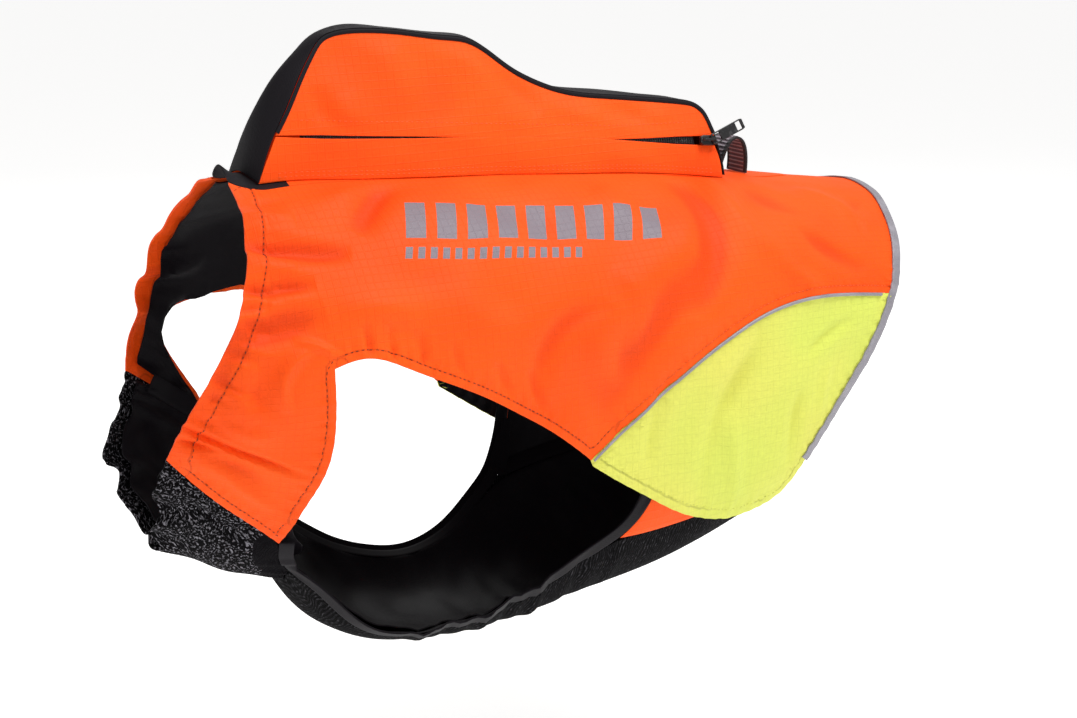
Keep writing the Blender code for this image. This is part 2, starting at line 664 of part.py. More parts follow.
def add_back_panel():
    """The black panel along the spine, under the pocket."""
    rings = seam_rings()[:STRAP_CELLS + ARM_CELLS + PIPING_CELLS + 1]
    edge = back_seam(rings)
    across = np.linspace(-1, 1, 5)
    places = np.array([[(r, a * w) for a in across] for r, w in edge])
    base = form_grid(places, 1)
    cells = used_cells(base)
    normals = grid_normals(base, cells, body_line(base))
    pucker = np.array([
        [BACK_PUCKER * math.exp(-(r * RING_MM / BACK_PUCKER_FADE) ** 2) * math.cos(math.pi * a / 2)
         for a in across] for r in rings
    ])
    outer = trimmed(base + normals * pucker[..., None], cells, SEAM_GAP / 2)
    facing = grid_normals(outer, cells, body_line(outer))
    wall("back_panel", outer, outer - facing * SHELL, cells, "black_shell")


def signed(line, flank):
    """Round counted on past the breast line for the right flank, so that it never jumps."""
    line = np.array(line, float)
    if flank == "right":
        line[:, 1] = 2 - line[:, 1]
    return line


def breast_seam():
    """The seam between chest and belly, from the left notch to the right one."""
    left = KNIT_EDGE["left"][NOTCH_ROW["left"]]
    right = KNIT_EDGE["right"][NOTCH_ROW["right"]]
    rows = [left, (1.12, 0.94), (1.15, 1.0), (1.15, 1.08), (1.2, 1.17), (right[0], 2 - right[1])]
    return spaced(rows, BREAST_CELLS)


def add_chest():
    left = spaced(STRAP_END["left"], STRAP_CELLS)
    right = signed(spaced(STRAP_END["right"], STRAP_CELLS), "right")
    cut = NOTCH_ROW["left"] + 1
    rear = joined(
        spaced(KNIT_EDGE["left"][:cut], CHEST_SIDE_CELLS),
        breast_seam(),
        signed(spaced(KNIT_EDGE["right"][:cut], CHEST_SIDE_CELLS), "right")[::-1],
    )
    neck_rounds = np.linspace(left[0][1], right[0][1], len(rear))
    neck = np.array([(neck_ring("knit", r), r) for r in neck_rounds])
    places = patch(neck, rear, left, right)
    chest = sew("chest_panel", places, -1, "knit", KNIT, "grey_knit")
    insets = (KNIT_LINING_SIDE, KNIT_LINING_SIDE, KNIT_LINING_NECK, KNIT_LINING_SEAM)
    sew_lining("chest_lining", places, -1, "knit", KNIT, insets)
    return chest


def belly_edge(flank):
    """The belly knit's edge: along the armhole, then along the gusset seam."""
    rear = [(4.15, KNIT_EDGE[flank][-1][1]), (4.8, GUSSET_SEAM_ROUND), (5.5, GUSSET_SEAM_ROUND),
            (BELLY_REAR_RING, GUSSET_SEAM_ROUND)]
    edge = joined(
        spaced(KNIT_EDGE[flank][NOTCH_ROW[flank]:], BELLY_ARM_CELLS),
        spaced(rear, BELLY_REAR_CELLS),
    )
    return signed(edge, flank)


def add_belly():
    left, right = belly_edge("left"), belly_edge("right")
    bow = [(BELLY_REAR_RING + further, around) for further, around in BELLY_REAR_BOW]
    rear = spaced([left[-1], *bow, right[-1]], BREAST_CELLS)
    places = patch(left, right, breast_seam(), rear)
    belly = sew("belly_panel", places, -1, "knit", KNIT, "grey_knit")
    insets = (KNIT_LINING_SIDE, BELLY_LINING_SIDE, KNIT_LINING_SEAM, KNIT_LINING_SEAM)
    sew_lining("belly_lining", places, -1, "knit", KNIT, insets)
    return belly


def add_gusset(flank, side):
    """The orange wedge that joins the belly to the inside of the flap."""
    seam_round = KNIT_EDGE[flank][-1][1]
    low = spaced([(4.15, seam_round), (4.8, GUSSET_SEAM_ROUND), (5.5, GUSSET_SEAM_ROUND),
                  (BELLY_REAR_RING, GUSSET_SEAM_ROUND)], BELLY_REAR_CELLS)
    front = spaced([(4.15, seam_round)] + GUSSET_FRONT[1:], GUSSET_CELLS)
    top_left = GUSSET_FRONT[-1]
    top = spaced([top_left, (5.4, GUSSET_TOP_ROUND), (6.3, GUSSET_TOP_ROUND)], BELLY_REAR_CELLS)
    rear = spaced([(BELLY_REAR_RING, GUSSET_SEAM_ROUND), (6.3, GUSSET_TOP_ROUND)], GUSSET_CELLS)
    places = patch(low, top, front, rear)
    base = form_grid(places, side)
    cells = used_cells(base)
    for i in range(places.shape[0]):
        for j in range(places.shape[1]):
            rise = (j / GUSSET_CELLS) ** 2
            reach = hang(*places[i, -1]) - SHELL - GUSSET_CLEAR
            base[i, j, 1] += side * rise * reach
    outer = trimmed(base, cells, SEAM_GAP / 2)
    facing = grid_normals(outer, cells, body_line(outer))
    wall("gusset_" + flank, outer, outer - facing * SHELL, cells, "orange_shell")
    return outer, facing


def add_armhole_band(flank, chest, belly, gusset):
    """The smooth black binding along the chest, the belly and the gusset."""
    chest_grid, chest_out = chest
    belly_grid, belly_out = belly
    gusset_grid, gusset_out = gusset
    if flank == "left":
        edge = [(chest_grid[k, -1], chest_out[k, -1]) for k in range(0, CHEST_SIDE_CELLS)]
        edge += [(belly_grid[k, 0], belly_out[k, 0]) for k in range(0, BELLY_ARM_CELLS + 1)]
    else:
        last = chest_grid.shape[0] - 1
        edge = [(chest_grid[last - k, -1], chest_out[last - k, -1])
                for k in range(0, CHEST_SIDE_CELLS)]
        edge += [(belly_grid[k, -1], belly_out[k, -1]) for k in range(0, BELLY_ARM_CELLS + 1)]
    edge += [(gusset_grid[0, k], gusset_out[0, k]) for k in range(1, GUSSET_CELLS)]
    spots = np.array([spot for spot, _ in edge])
    outs = np.array([out for _, out in edge])
    away = across_edge(spots, outs, forwards=False)
    near = spots + away * SEAM_GAP
    far = spots + away * BAND_WIDTH
    outer = np.stack([near, (near + far) / 2, far], axis=1)
    cells = used_cells(outer)
    inner = outer - outs[:, None, :] * BAND
    wall("armhole_band_" + flank, outer, inner, cells, "black_lining")


# ---------------------------------------------------------------- pocket, zip and loop

def back_height(x, y):
    """Height of the drawn form on top of the back."""
    tops = [on_body(r, round_at(r, abs(y)), 1) for r in np.linspace(0, 7, 36)]
    return float(np.interp(x, [p[0] for p in tops], [p[2] for p in tops]))


def base_line(cells):
    """The line where a pocket wall is sewn to the back."""
    xs = np.linspace(POCKET_FRONT[0][0], POCKET_BASE_END, cells + 1)
    return np.array([(x, back_height(x, pocket_half_width(x, BACK_LEVEL + BACK_SLOPE * x))
                      + POCKET_FOOT) for x in xs])


def spaced_xz(rows, cells):
    """A smooth (x, z) line cut into even lengths."""
    rows = np.array(rows, float)
    fine = np.array([through_rows(rows, k) for k in np.linspace(0, len(rows) - 1, 16 * len(rows))])
    length = np.concatenate([[0], np.linalg.norm(np.diff(fine, axis=0), axis=1).cumsum()])
    at = np.linspace(0, length[-1], cells + 1)
    return np.stack([np.interp(at, length, fine[:, k]) for k in range(2)], axis=1)


def pocket_half_width(x, z):
    """How far a pocket wall stands from the middle, at a place in the side view."""
    held = min(max(x, POCKET_TOP[0][0]), POCKET_TOP[-1][0])
    top = np.interp(held, [p[0] for p in POCKET_TOP], [p[1] for p in POCKET_TOP])
    foot = BACK_LEVEL + BACK_SLOPE * held
    share = min(max((z - BACK_LEVEL - BACK_SLOPE * x) / (top - foot), 0.0), 1.0)
    along = (held - POCKET_TOP[0][0]) / (POCKET_TOP[-1][0] - POCKET_TOP[0][0])
    half_top = POCKET_HALF_FRONT + (POCKET_HALF_REAR - POCKET_HALF_FRONT) * along
    nose = POCKET_NOSE + (1 - POCKET_NOSE) * ease((x - POCKET_FRONT[0][0]) / POCKET_NOSE_LONG)
    return nose * (POCKET_HALF_BASE - (POCKET_HALF_BASE - half_top) * share ** POCKET_LEAN_POWER)


def pocket_points(flat, side):
    """Side-view places on a pocket wall, as points."""
    points = np.zeros(flat.shape[:2] + (3,))
    for i, j in np.ndindex(*flat.shape[:2]):
        x, z = flat[i, j]
        points[i, j] = (x, side * pocket_half_width(x, z), z)
    return points


def add_pocket_wall(name, flat, side):
    outer = pocket_points(flat, side)
    cells = used_cells(outer)
    outer = trimmed(outer, cells, SEAM_GAP / 2)
    middle = outer.copy()
    middle[..., 1] = 0
    middle[..., 2] -= 20
    facing = grid_normals(outer, cells, middle)
    wall(name, outer, outer - facing * SHELL, cells, "orange_shell")


def zip_edges():
    """The two edges of the zip opening, gaping at its ends."""
    line = spaced_xz(ZIP_LINE, POCKET_CELLS)
    middle = (line[0][0] + line[-1][0]) / 2
    half = (line[-1][0] - line[0][0]) / 2
    gape = ZIP_CLOSED + (ZIP_GAPE - ZIP_CLOSED) * ((line[:, 0] - middle) / half) ** 2
    offset = np.stack([np.zeros_like(gape), gape / 2], axis=1)
    return line - offset, line + offset


def across_zip(low, high):
    """The end of a pocket wall below the zip and above it, as one line over the gap."""
    return np.concatenate([low[:-1], [(low[-1] + high[0]) / 2], high[1:]])


def add_pocket():
    base = base_line(POCKET_CELLS)
    low_zip, high_zip = zip_edges()
    top = spaced_xz(POCKET_TOP, POCKET_CELLS)
    front_low = spaced_xz([base[0], POCKET_FRONT[1], low_zip[0]], ZIP_BAND_CELLS)
    front_high = spaced_xz([high_zip[0]] + POCKET_FRONT[FRONT_ZIP_ROW + 1:], POCKET_WALL_CELLS)
    rear_low = spaced_xz([base[-1], POCKET_REAR[REAR_ZIP_ROW + 1], low_zip[-1]], ZIP_BAND_CELLS)
    rear_high = spaced_xz([high_zip[-1]] + POCKET_REAR[REAR_ZIP_ROW - 1::-1], POCKET_WALL_CELLS)
    add_pocket_wall("pocket_band_left", patch(base, low_zip, front_low, rear_low), -1)
    add_pocket_wall("pocket_wall_left", patch(high_zip, top, front_high, rear_high), -1)
    front, rear = across_zip(front_low, front_high), across_zip(rear_low, rear_high)
    add_pocket_wall("pocket_wall_right", patch(base, top, front, rear), 1)
    add_pocket_gusset(front, top, rear[::-1])
    add_zip_tape()


def add_pocket_gusset(front, top, rear):
    """The black strip that closes the pocket from its front, over its top, to its rear."""
    line = joined(front, top, rear)
    along = np.gradient(line, axis=0)
    along /= np.linalg.norm(along, axis=1, keepdims=True)
    out = np.stack([-along[:, 1], along[:, 0]], axis=1)
    across = np.linspace(-1, 1, 5)
    points = np.zeros((len(line), len(across), 3))
    last_front, first_rear = len(front) - 1, len(line) - len(rear)
    for k, (x, z) in enumerate(line):
        half = pocket_half_width(x, z)
        bulge = 1.0
        if k < last_front:
            bulge += GUSSET_BULGE * math.sin(math.pi * k / last_front) ** 0.8
        elif k > first_rear:
            bulge += REAR_BULGE * math.sin(math.pi * (k - first_rear) / (len(rear) - 1))
        for m, a in enumerate(across):
            reach = SHELL + 2 * SEAM_GAP + bulge * (1 - a * a)
            px, pz = x + out[k, 0] * reach, z + out[k, 1] * reach
            if k in (0, len(line) - 1):
                pz = back_height(px, a * half) + 2 * POCKET_FOOT
            points[k, m] = (px, a * half, pz)
    middle = points.copy()
    middle[..., 0] = np.clip(points[..., 0], POCKET_TOP[0][0], POCKET_TOP[-1][0])
    middle[..., 1:] = 0
    cells = used_cells(points)
    facing = grid_normals(points, cells, middle)
    wall("pocket_gusset", points, points - facing * SHELL, cells, "black_shell")


def add_zip_tape():
    """The black tape behind the zip opening."""
    line = spaced_xz(ZIP_LINE, POCKET_CELLS)[1:-1]
    rise = np.array((0, ZIP_TAPE_WIDTH / 2))
    outer = pocket_points(np.stack([line - rise, line, line + rise], axis=1), -1)
    outer[..., 1] += SHELL + 2 * SEAM_GAP
    wall("zip_tape", outer, outer + (0, ZIP_TAPE_THICK, 0), used_cells(outer), "black_zip")


def slider_frame():
    """The middle of the slider on the pocket wall, with the directions along the zip, up
    the wall and out from it."""
    x, z = SLIDER_AT
    here, behind, above = (
        np.array((x + dx, -pocket_half_width(x + dx, z + dz), z + dz))
        for dx, dz in ((0, 0), (SLIDER_LONG, ZIP_SLOPE * SLIDER_LONG), (0, SLIDER_WIDE / 2))
    )
    along = (behind - here) / np.linalg.norm(behind - here)
    up = above - here
    up -= along * np.dot(up, along)
    up /= np.linalg.norm(up)
    return here, along, up, np.cross(along, up)


def extruded(name, outline, frame, drawn, low, high, kind):
    """A plate: an outline drawn along two directions of a frame, extruded in the third."""
    spot = frame[0]
    first, second, third = (frame[1 + k] for k in drawn)
    points = [spot + first * a + second * b + third * c for c in (low, high) for a, b in outline]
    count = len(outline)
    faces = [tuple(range(count)), tuple(range(2 * count - 1, count - 1, -1))]
    faces += [(k, k + count, (k + 1) % count + count, (k + 1) % count) for k in range(count)]
    return add_solid(name, points, faces, kind)


def add_slider(frame):
    """The zip's slider: a body on the closed zip, and the bridge that holds the pull tab."""
    long, wide = SLIDER_LONG / 2, SLIDER_WIDE / 2
    body = [(-long, -0.6 * wide), (-0.7 * long, -wide), (0.5 * long, -wide), (long, -0.7 * wide),
            (long, 0.7 * wide), (0.5 * long, wide), (-0.7 * long, wide), (-long, 0.6 * wide)]
    face = SLIDER_CLEAR + SLIDER_THICK
    slider = extruded("zip_slider", body, frame, (0, 1, 2), SLIDER_CLEAR, face, "black_zip")
    foot, high, half, leg = (face - BRIDGE_ROOT, face + BRIDGE_CLEAR, BRIDGE_LONG / 2,
                             BRIDGE_THICK)
    cut = BRIDGE_CHAMFER
    arch = [(-half - leg, foot), (-half - leg, high), (-half, high + leg), (half, high + leg),
            (half + leg, high), (half + leg, foot), (half, foot), (half, high - cut),
            (half - cut, high), (cut - half, high), (-half, high - cut), (-half, foot)]
    bridge = extruded("bridge", arch, frame, (0, 2, 1), -BRIDGE_WIDE / 2, BRIDGE_WIDE / 2,
                      "black_zip")
    bridge.hide_render = True
    bridge.display_type = "WIRE"
    join = slider.modifiers.new("join", "BOOLEAN")
    join.operation = "UNION"
    join.object = bridge


def add_pull_tab(frame):
    """The flat tab, turned up a little from the zip. Its first bar lies under the bridge,
    and it swings about that bar."""
    spot, zipwards, up, out = frame
    pivot = spot + zipwards * TAB_PIVOT + out * (SLIDER_CLEAR + SLIDER_THICK + BRIDGE_CLEAR / 2)
    along = zipwards * math.cos(TAB_TILT) + up * math.sin(TAB_TILT)
    across = up * math.cos(TAB_TILT) - zipwards * math.sin(TAB_TILT)
    half = TAB_WIDE / 2
    stations = [-TAB_BAR / 2, TAB_BAR / 2, TAB_EYE, TAB_LONG - TAB_HOLE, TAB_LONG - TAB_END_BAR,
                TAB_LONG]
    lines = [-half, -half + TAB_RAIL, half - TAB_RAIL, half]
    outer = np.zeros((len(stations), len(lines), 3))
    for i, j in np.ndindex(len(stations), len(lines)):
        narrow = TAB_END_NARROW if i in (0, len(stations) - 1) else 1.0
        outer[i, j] = pivot + along * stations[i] + across * lines[j] * narrow
    cells = used_cells(outer)
    cells[1, 1] = cells[3, 1] = False  # the eye round the bridge, and the hole for a cord
    face, back = outer + out * TAB_THICK / 2, outer - out * TAB_THICK / 2
    wall("pull_tab", face, back, cells, "black_zip", origin=pivot)


def add_webbing_loop():
    """The loop behind the pocket: webbing that stands up on its two ends."""
    path = spaced_xz(LOOP_PATH, LOOP_CELLS)
    along = np.gradient(path, axis=0)
    along /= np.linalg.norm(along, axis=1, keepdims=True)
    half = LOOP_WIDE / 2
    frames = []
    for k, (x, z) in enumerate(path):
        out = np.array((-along[k, 1], 0, along[k, 0]))
        if k in (0, LOOP_CELLS):
            z = back_height(x, half) + 3 * SEAM_GAP
            out = np.array((-math.copysign(1, along[k, 1]), 0, 0))
        frames.append((np.array((x, 0, z)), np.array((0, 1.0, 0)), out))
    profile = [(-half, 0), (-half, WEBBING), (half, WEBBING), (half, 0)]
    swept("webbing_loop", frames, profile, "webbing_grey")


# ---------------------------------------------------------------- main

def clear_scene():
    for thing in list(bpy.data.objects):
        bpy.data.objects.remove(thing, do_unlink=True)


def main():
    clear_scene()
    left = add_side("left", -1)
    right = add_side("right", 1)
    add_tail_binding(left, right)
    add_back_panel()
    chest = add_chest()
    belly = add_belly()
    for flank, side in (("left", -1), ("right", 1)):
        gusset = add_gusset(flank, side)
        add_armhole_band(flank, chest, belly, gusset)
    add_pocket()
    add_slider(slider_frame())
    add_pull_tab(slider_frame())
    add_webbing_loop()


main()
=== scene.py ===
# %% [markdown]
# # A dog's protective vest, from plain solids to finished cloth
#
# The vest comes in as a set of plain solids at their real size. This lesson gives each of
# them the look of its real material. A panel of cloth starts as a copy of its solid, which
# is made finer, creased, hemmed and stitched. Small hard things, such as the zip's teeth,
# are modelled from simple shapes, and the slider and its tab are rounded copies of their
# solids. Lengths are in metres, and the tables of folds are in millimetres.

# %% The imported model
import math

import bmesh
import bpy
import numpy as np
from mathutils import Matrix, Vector
from mathutils.bvhtree import BVHTree
from mathutils.kdtree import KDTree


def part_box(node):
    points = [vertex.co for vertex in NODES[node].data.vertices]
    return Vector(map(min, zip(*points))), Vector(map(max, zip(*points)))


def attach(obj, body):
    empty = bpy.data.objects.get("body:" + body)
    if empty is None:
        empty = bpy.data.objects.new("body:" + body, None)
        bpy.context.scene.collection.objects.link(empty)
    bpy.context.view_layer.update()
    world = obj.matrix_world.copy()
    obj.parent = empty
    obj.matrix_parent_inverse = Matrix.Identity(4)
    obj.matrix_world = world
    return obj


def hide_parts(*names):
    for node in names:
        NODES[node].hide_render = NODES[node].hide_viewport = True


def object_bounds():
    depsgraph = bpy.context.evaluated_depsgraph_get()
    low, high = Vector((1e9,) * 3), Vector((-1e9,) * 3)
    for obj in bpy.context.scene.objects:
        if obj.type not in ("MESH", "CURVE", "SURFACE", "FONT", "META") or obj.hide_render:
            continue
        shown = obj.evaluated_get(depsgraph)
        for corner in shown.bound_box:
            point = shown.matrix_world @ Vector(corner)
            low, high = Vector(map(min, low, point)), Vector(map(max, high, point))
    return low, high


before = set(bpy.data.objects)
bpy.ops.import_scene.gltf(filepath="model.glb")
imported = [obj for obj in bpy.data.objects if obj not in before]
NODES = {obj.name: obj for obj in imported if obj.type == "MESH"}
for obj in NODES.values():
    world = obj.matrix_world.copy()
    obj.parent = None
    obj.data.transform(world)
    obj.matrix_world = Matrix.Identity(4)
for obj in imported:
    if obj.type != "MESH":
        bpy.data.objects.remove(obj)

CAD_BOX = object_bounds()
MM = 0.001
print("the model is", [round((b - a) / MM) for a, b in zip(*CAD_BOX)], "mm")

# %% [markdown]
# ## Where the picture is taken from
#
# The vest is seen from its left and a little from in front, from slightly above. A long
# lens keeps the near and the far side close to the same size. The camera is placed by its
# direction and its distance from the point that it looks at.

# %% Camera
AIM = Vector((0.01783, -0.04796, -0.12593))
ROUND, ABOVE = math.radians(-30), math.radians(15)
DISTANCE = 1.25

bpy.ops.object.select_all(action="DESELECT")
towards_camera = Vector((math.sin(ROUND) * math.cos(ABOVE),
                         -math.cos(ROUND) * math.cos(ABOVE),
                         math.sin(ABOVE)))
bpy.ops.object.camera_add(location=AIM + towards_camera * DISTANCE)
camera = bpy.context.object
camera.rotation_euler = towards_camera.to_track_quat("Z", "Y").to_euler()
camera.data.lens = 62
camera.data.clip_start, camera.data.clip_end = 0.05, 20
bpy.context.scene.camera = camera
print("camera at", [round(c, 3) for c in camera.location])

# %% [markdown]
# ## Light and floor
#
# A product on white is lit by big soft lights. A pale floor lies well below the vest, which
# would be held up by the dog, so that its shadow is faint. Bright, even surroundings fill
# the shadows, and one large panel overhead gives the cloth its form.

# %% Light and floor
FLOOR_BELOW = 0.14


def add_light(name, place, size, power):
    """A square soft light that points at the vest."""
    bpy.ops.object.light_add(type="AREA", location=place)
    light = bpy.context.object
    light.name = name
    light.data.size = size
    light.data.energy = power
    light.rotation_euler = (Vector(place) - AIM).to_track_quat("Z", "Y").to_euler()
    return light


add_light("overhead_light", (0.50, -0.60, 1.30), 0.8, 23)
add_light("front_light", (-1.5, -0.9, 0.9), 0.8, 2.6)
add_light("back_light", (0.6, 1.6, 1.2), 1.0, 9)

world = bpy.data.worlds.new("studio")
bpy.context.scene.world = world
world.use_nodes = True
world.node_tree.nodes["Background"].inputs["Color"].default_value = (1.0, 0.99, 0.98, 1)
world.node_tree.nodes["Background"].inputs["Strength"].default_value = 0.37
bpy.context.scene.view_settings.view_transform = "Standard"

bpy.ops.mesh.primitive_plane_add(size=60, location=(0, 0, CAD_BOX[0].z - FLOOR_BELOW))
floor = bpy.context.object
floor.name = "floor"

# %% [markdown]
# ## Writing materials as sums
#
# Every finish here is made of nodes, and nothing is painted by hand. Nodes are tedious to
# wire one at a time, so a small class stands for one value in a material. Python's own
# signs, such as + and *, then add the Math nodes.

# %% Sums of nodes
class Strand:
    """One value in a finish, which Python's operators carry further."""

    def __init__(self, finish, socket):
        self.finish = finish
        self.socket = socket

    def __add__(self, other):
        return self.finish.maths("ADD", self, other)

    def __radd__(self, other):
        return self.finish.maths("ADD", other, self)

    def __sub__(self, other):
        return self.finish.maths("SUBTRACT", self, other)

    def __rsub__(self, other):
        return self.finish.maths("SUBTRACT", other, self)

    def __mul__(self, other):
        return self.finish.maths("MULTIPLY", self, other)

    def __rmul__(self, other):
        return self.finish.maths("MULTIPLY", other, self)

    def __truediv__(self, other):
        return self.finish.maths("DIVIDE", self, other)

    def __pow__(self, other):
        return self.finish.maths("POWER", self, other)

    def __gt__(self, other):
        return self.finish.maths("GREATER_THAN", self, other)

    def __lt__(self, other):
        return self.finish.maths("LESS_THAN", self, other)


class Finish:
    """A material written as sums. `fixed` holds what is the same all over the surface."""

    def __init__(self, name, fixed):
        self.material = bpy.data.materials.new(name)
        self.material.use_nodes = True
        self.tree = self.material.node_tree
        self.shader = self.tree.nodes["Principled BSDF"]
        for socket, value in fixed.items():
            self.shader.inputs[socket].default_value = value

    def feed(self, socket, value):
        """Gives a socket a link or a plain value."""
        if isinstance(value, Strand):
            self.tree.links.new(value.socket, socket)
        else:
            socket.default_value = value

    def node(self, kind, settings, values, output=0):
        """Any node: its settings are set first, and then its sockets are fed."""
        made = self.tree.nodes.new(kind)
        for setting, value in settings.items():
            setattr(made, setting, value)
        for socket, value in values.items():
            self.feed(made.inputs[socket], value)
        return Strand(self, made.outputs[output])

    def maths(self, operation, *values):
        return self.node("ShaderNodeMath", {"operation": operation}, dict(enumerate(values)))

    def place(self):
        """The place on the piece, in the model's own frame."""
        return self.node("ShaderNodeTexCoord", {}, {}, "Object")

    def laid_flat(self):
        """The place on the cloth as it lay on the cutting table."""
        return self.node("ShaderNodeAttribute", {"attribute_name": "laid_flat"}, {}, "Vector")

    def own(self, attribute):
        """A number that a piece keeps at each of its points."""
        return self.node("ShaderNodeAttribute", {"attribute_name": attribute}, {}, "Fac")

    def parts(self, vector):
        split = self.node("ShaderNodeSeparateXYZ", {}, {0: vector}).socket.node
        return [Strand(self, split.outputs[k]) for k in range(3)]

    def stretched(self, vector, scale):
        return self.node("ShaderNodeVectorMath", {"operation": "MULTIPLY"},
                         {0: vector, 1: scale})

    def noise(self, vector, scale, detail=2.0, rough=0.5):
        return self.node("ShaderNodeTexNoise", {},
                         {"Vector": vector, "Scale": scale, "Detail": detail,
                          "Roughness": rough})

    def cells(self, vector, scale):
        """A random grey for each small cell of the surface."""
        cells = self.node("ShaderNodeTexVoronoi", {}, {"Vector": vector, "Scale": scale},
                          "Color")
        return self.parts(cells)[0]

    def ramp(self, value, low, high):
        """0 below `low`, 1 above `high`, and smooth between them."""
        return self.node("ShaderNodeMapRange", {"interpolation_type": "SMOOTHSTEP"},
                         {"Value": value, "From Min": low, "From Max": high})

    def waves(self, value, length):
        """A wave from 0 to 1 that repeats after `length`."""
        return self.maths("SINE", value * (2 * math.pi / length)) * 0.5 + 0.5

    def mix(self, share, first, second):
        """From one colour to another."""
        first, second = (c if isinstance(c, Strand) else (*c, 1) for c in (first, second))
        return self.node("ShaderNodeMix", {"data_type": "RGBA"},
                         {0: share, 6: first, 7: second}, 2)

    def grey(self, value):
        """A number as a grey colour."""
        return self.node("ShaderNodeCombineColor", {}, {0: value, 1: value, 2: value})

    def set(self, socket, value):
        self.feed(self.shader.inputs[socket], value)

    def bump(self, height, depth):
        """Raises the surface by up to `depth` metres in light and shade."""
        self.set("Normal", self.node("ShaderNodeBump", {},
                                     {"Strength": 1.0, "Distance": depth, "Height": height}))


print("materials are written with", len(dir(Finish)), "names")

# %% [markdown]
# ## The shell cloth
#
# The orange and the yellow are the same coated polyester, dyed with fluorescent colours.
# A fluorescent dye turns violet light into its own colour and so looks brighter than white
# paper would. A little emission of the same colour stands for that: a painted glow, which
# also lifts the cloth's shade, since it shines the same where no light falls. The cloth is
# woven plainly, with slightly uneven threads, and every few millimetres a thicker thread
# stops tears. All of that is finer than the mesh, so it is colour and bump.

# %% Shell cloth
THREAD = 0.00062
RIPSTOP = 0.0052
PRINT_GREY = (0.245, 0.205, 0.235)
PRINT = dict(start=-0.084, low=0.062, fall=0.105, bar=0.0135, gap=0.0075, bars=9,
             slant=0.36, tall=0.0275, tick_tall=0.0075, tick=0.0048, tick_gap=0.0036,
             ticks=15)


def shell_finish(name, colour, other, trough_shade, glow, printed=False):
    """Coated plain weave. It drifts to a second tone, and troughs get a darker painted shade."""
    cloth = Finish(name, {"Specular IOR Level": 0.16, "Sheen Weight": 0.02,
                          "Sheen Roughness": 0.5, "Emission Strength": glow})
    flat = cloth.laid_flat()
    along, around, _ = cloth.parts(flat)
    drift = cloth.ramp(cloth.noise(flat, 9.0, 2.0), 0.3, 0.7)
    slubs = cloth.noise(cloth.stretched(flat, (170, 900, 1)), 1.0, 2.0, 0.6)
    picks = cloth.noise(cloth.stretched(flat, (900, 210, 1)), 1.0, 2.0, 0.6)
    grid = cloth.ramp(cloth.waves(along, RIPSTOP), 0.93, 1.0)
    grid = cloth.maths("MAXIMUM", grid, cloth.ramp(cloth.waves(around, RIPSTOP), 0.93, 1.0))
    # Painted shade: the tone turns darker towards the bottoms of the creases' troughs.
    trough = cloth.ramp(0.0 - cloth.own("height"), 0.0006, 0.0042)
    tone = cloth.mix(trough * 0.5, cloth.mix(drift, colour, other), trough_shade)
    # Painted shade: the cloth is darker along the groove of each stitched seam.
    seam = cloth.ramp(cloth.own("from_seam"), 0.0003, 0.0011)
    shade = ((slubs + picks) * 0.16 + 0.84 - grid * 0.03) * (0.74 + 0.26 * seam)
    tone = cloth.node("ShaderNodeMix", {"data_type": "RGBA", "blend_type": "MULTIPLY"},
                      {0: 1.0, 6: tone, 7: cloth.grey(shade)}, 2)
    rough = 0.58 + (slubs - 0.5) * 0.12
    # The emission takes the cloth's own tone: a painted glow that stands for the fluorescence and
    # lifts the shade as well.
    if printed:
        mask = print_mask(cloth, along, around)
        tone = cloth.mix(mask, tone, PRINT_GREY)
        rough = rough - mask * 0.16
        cloth.set("Emission Color", cloth.mix(mask, tone, (0.02, 0.02, 0.02)))
    else:
        cloth.set("Emission Color", tone)
    cloth.set("Base Color", tone)
    cloth.set("Roughness", rough)
    weave = cloth.waves(along, 2 * THREAD) * cloth.waves(around, 2 * THREAD)
    cloth.bump(weave * 0.25 + slubs * 0.5 + picks * 0.4 + grid * 0.5, 0.00022)
    return cloth.material


def print_mask(cloth, along, around):
    """A plain reflective print: a row of slanted bars with a row of short ticks below."""
    down = around - (PRINT["low"] + along * PRINT["fall"])
    leaning = along + down * PRINT["slant"] - PRINT["start"]

    def row(wide, gap, count, top, tall):
        share = cloth.maths("FRACT", leaning / (wide + gap))
        inside = (leaning > 0.0) * (leaning < count * (wide + gap))
        return (share < wide / (wide + gap)) * inside * (down > top) * (down < top + tall)

    bars = row(PRINT["bar"], PRINT["gap"], PRINT["bars"], 0.0, PRINT["tall"])
    ticks = row(PRINT["tick"], PRINT["tick_gap"], PRINT["ticks"],
                PRINT["tall"] + PRINT["gap"] * 0.8, PRINT["tick_tall"])
    return bars + ticks


ORANGE = (0.96, 0.096, 0.0050)
RED_ORANGE = (0.92, 0.076, 0.0030)
# A darker orange, painted as shade in the troughs of the creases.
TROUGH_SHADE_ORANGE = (0.62, 0.034, 0.002)
YELLOW = (0.70, 0.68, 0.125)
GREEN_YELLOW = (0.62, 0.69, 0.115)
# A darker yellow, painted as shade in the troughs of the creases.
TROUGH_SHADE_YELLOW = (0.50, 0.49, 0.050)
SHELL = dict(colour=ORANGE, other=RED_ORANGE, trough_shade=TROUGH_SHADE_ORANGE, glow=0.10)
orange_cloth = shell_finish("orange_cloth", **SHELL)
printed_cloth = shell_finish("orange_cloth_printed", **SHELL, printed=True)
yellow_cloth = shell_finish("yellow_cloth", YELLOW, GREEN_YELLOW, TROUGH_SHADE_YELLOW, 0.10)
print("shell finishes:", orange_cloth.name, printed_cloth.name, yellow_cloth.name)

# %% [markdown]
# ## Black cloth, knit, tape, webbing and metal
#
# The back panel and the pocket's gusset are matt black polyester. The lining is smoother and
# catches soft lights along its folds, a little purple. The chest and belly are a thick knit
# of two yarns, one black and one grey, so it is speckled. The binding and the piping are
# reflective tape, a dull grey until a lamp shines on it.

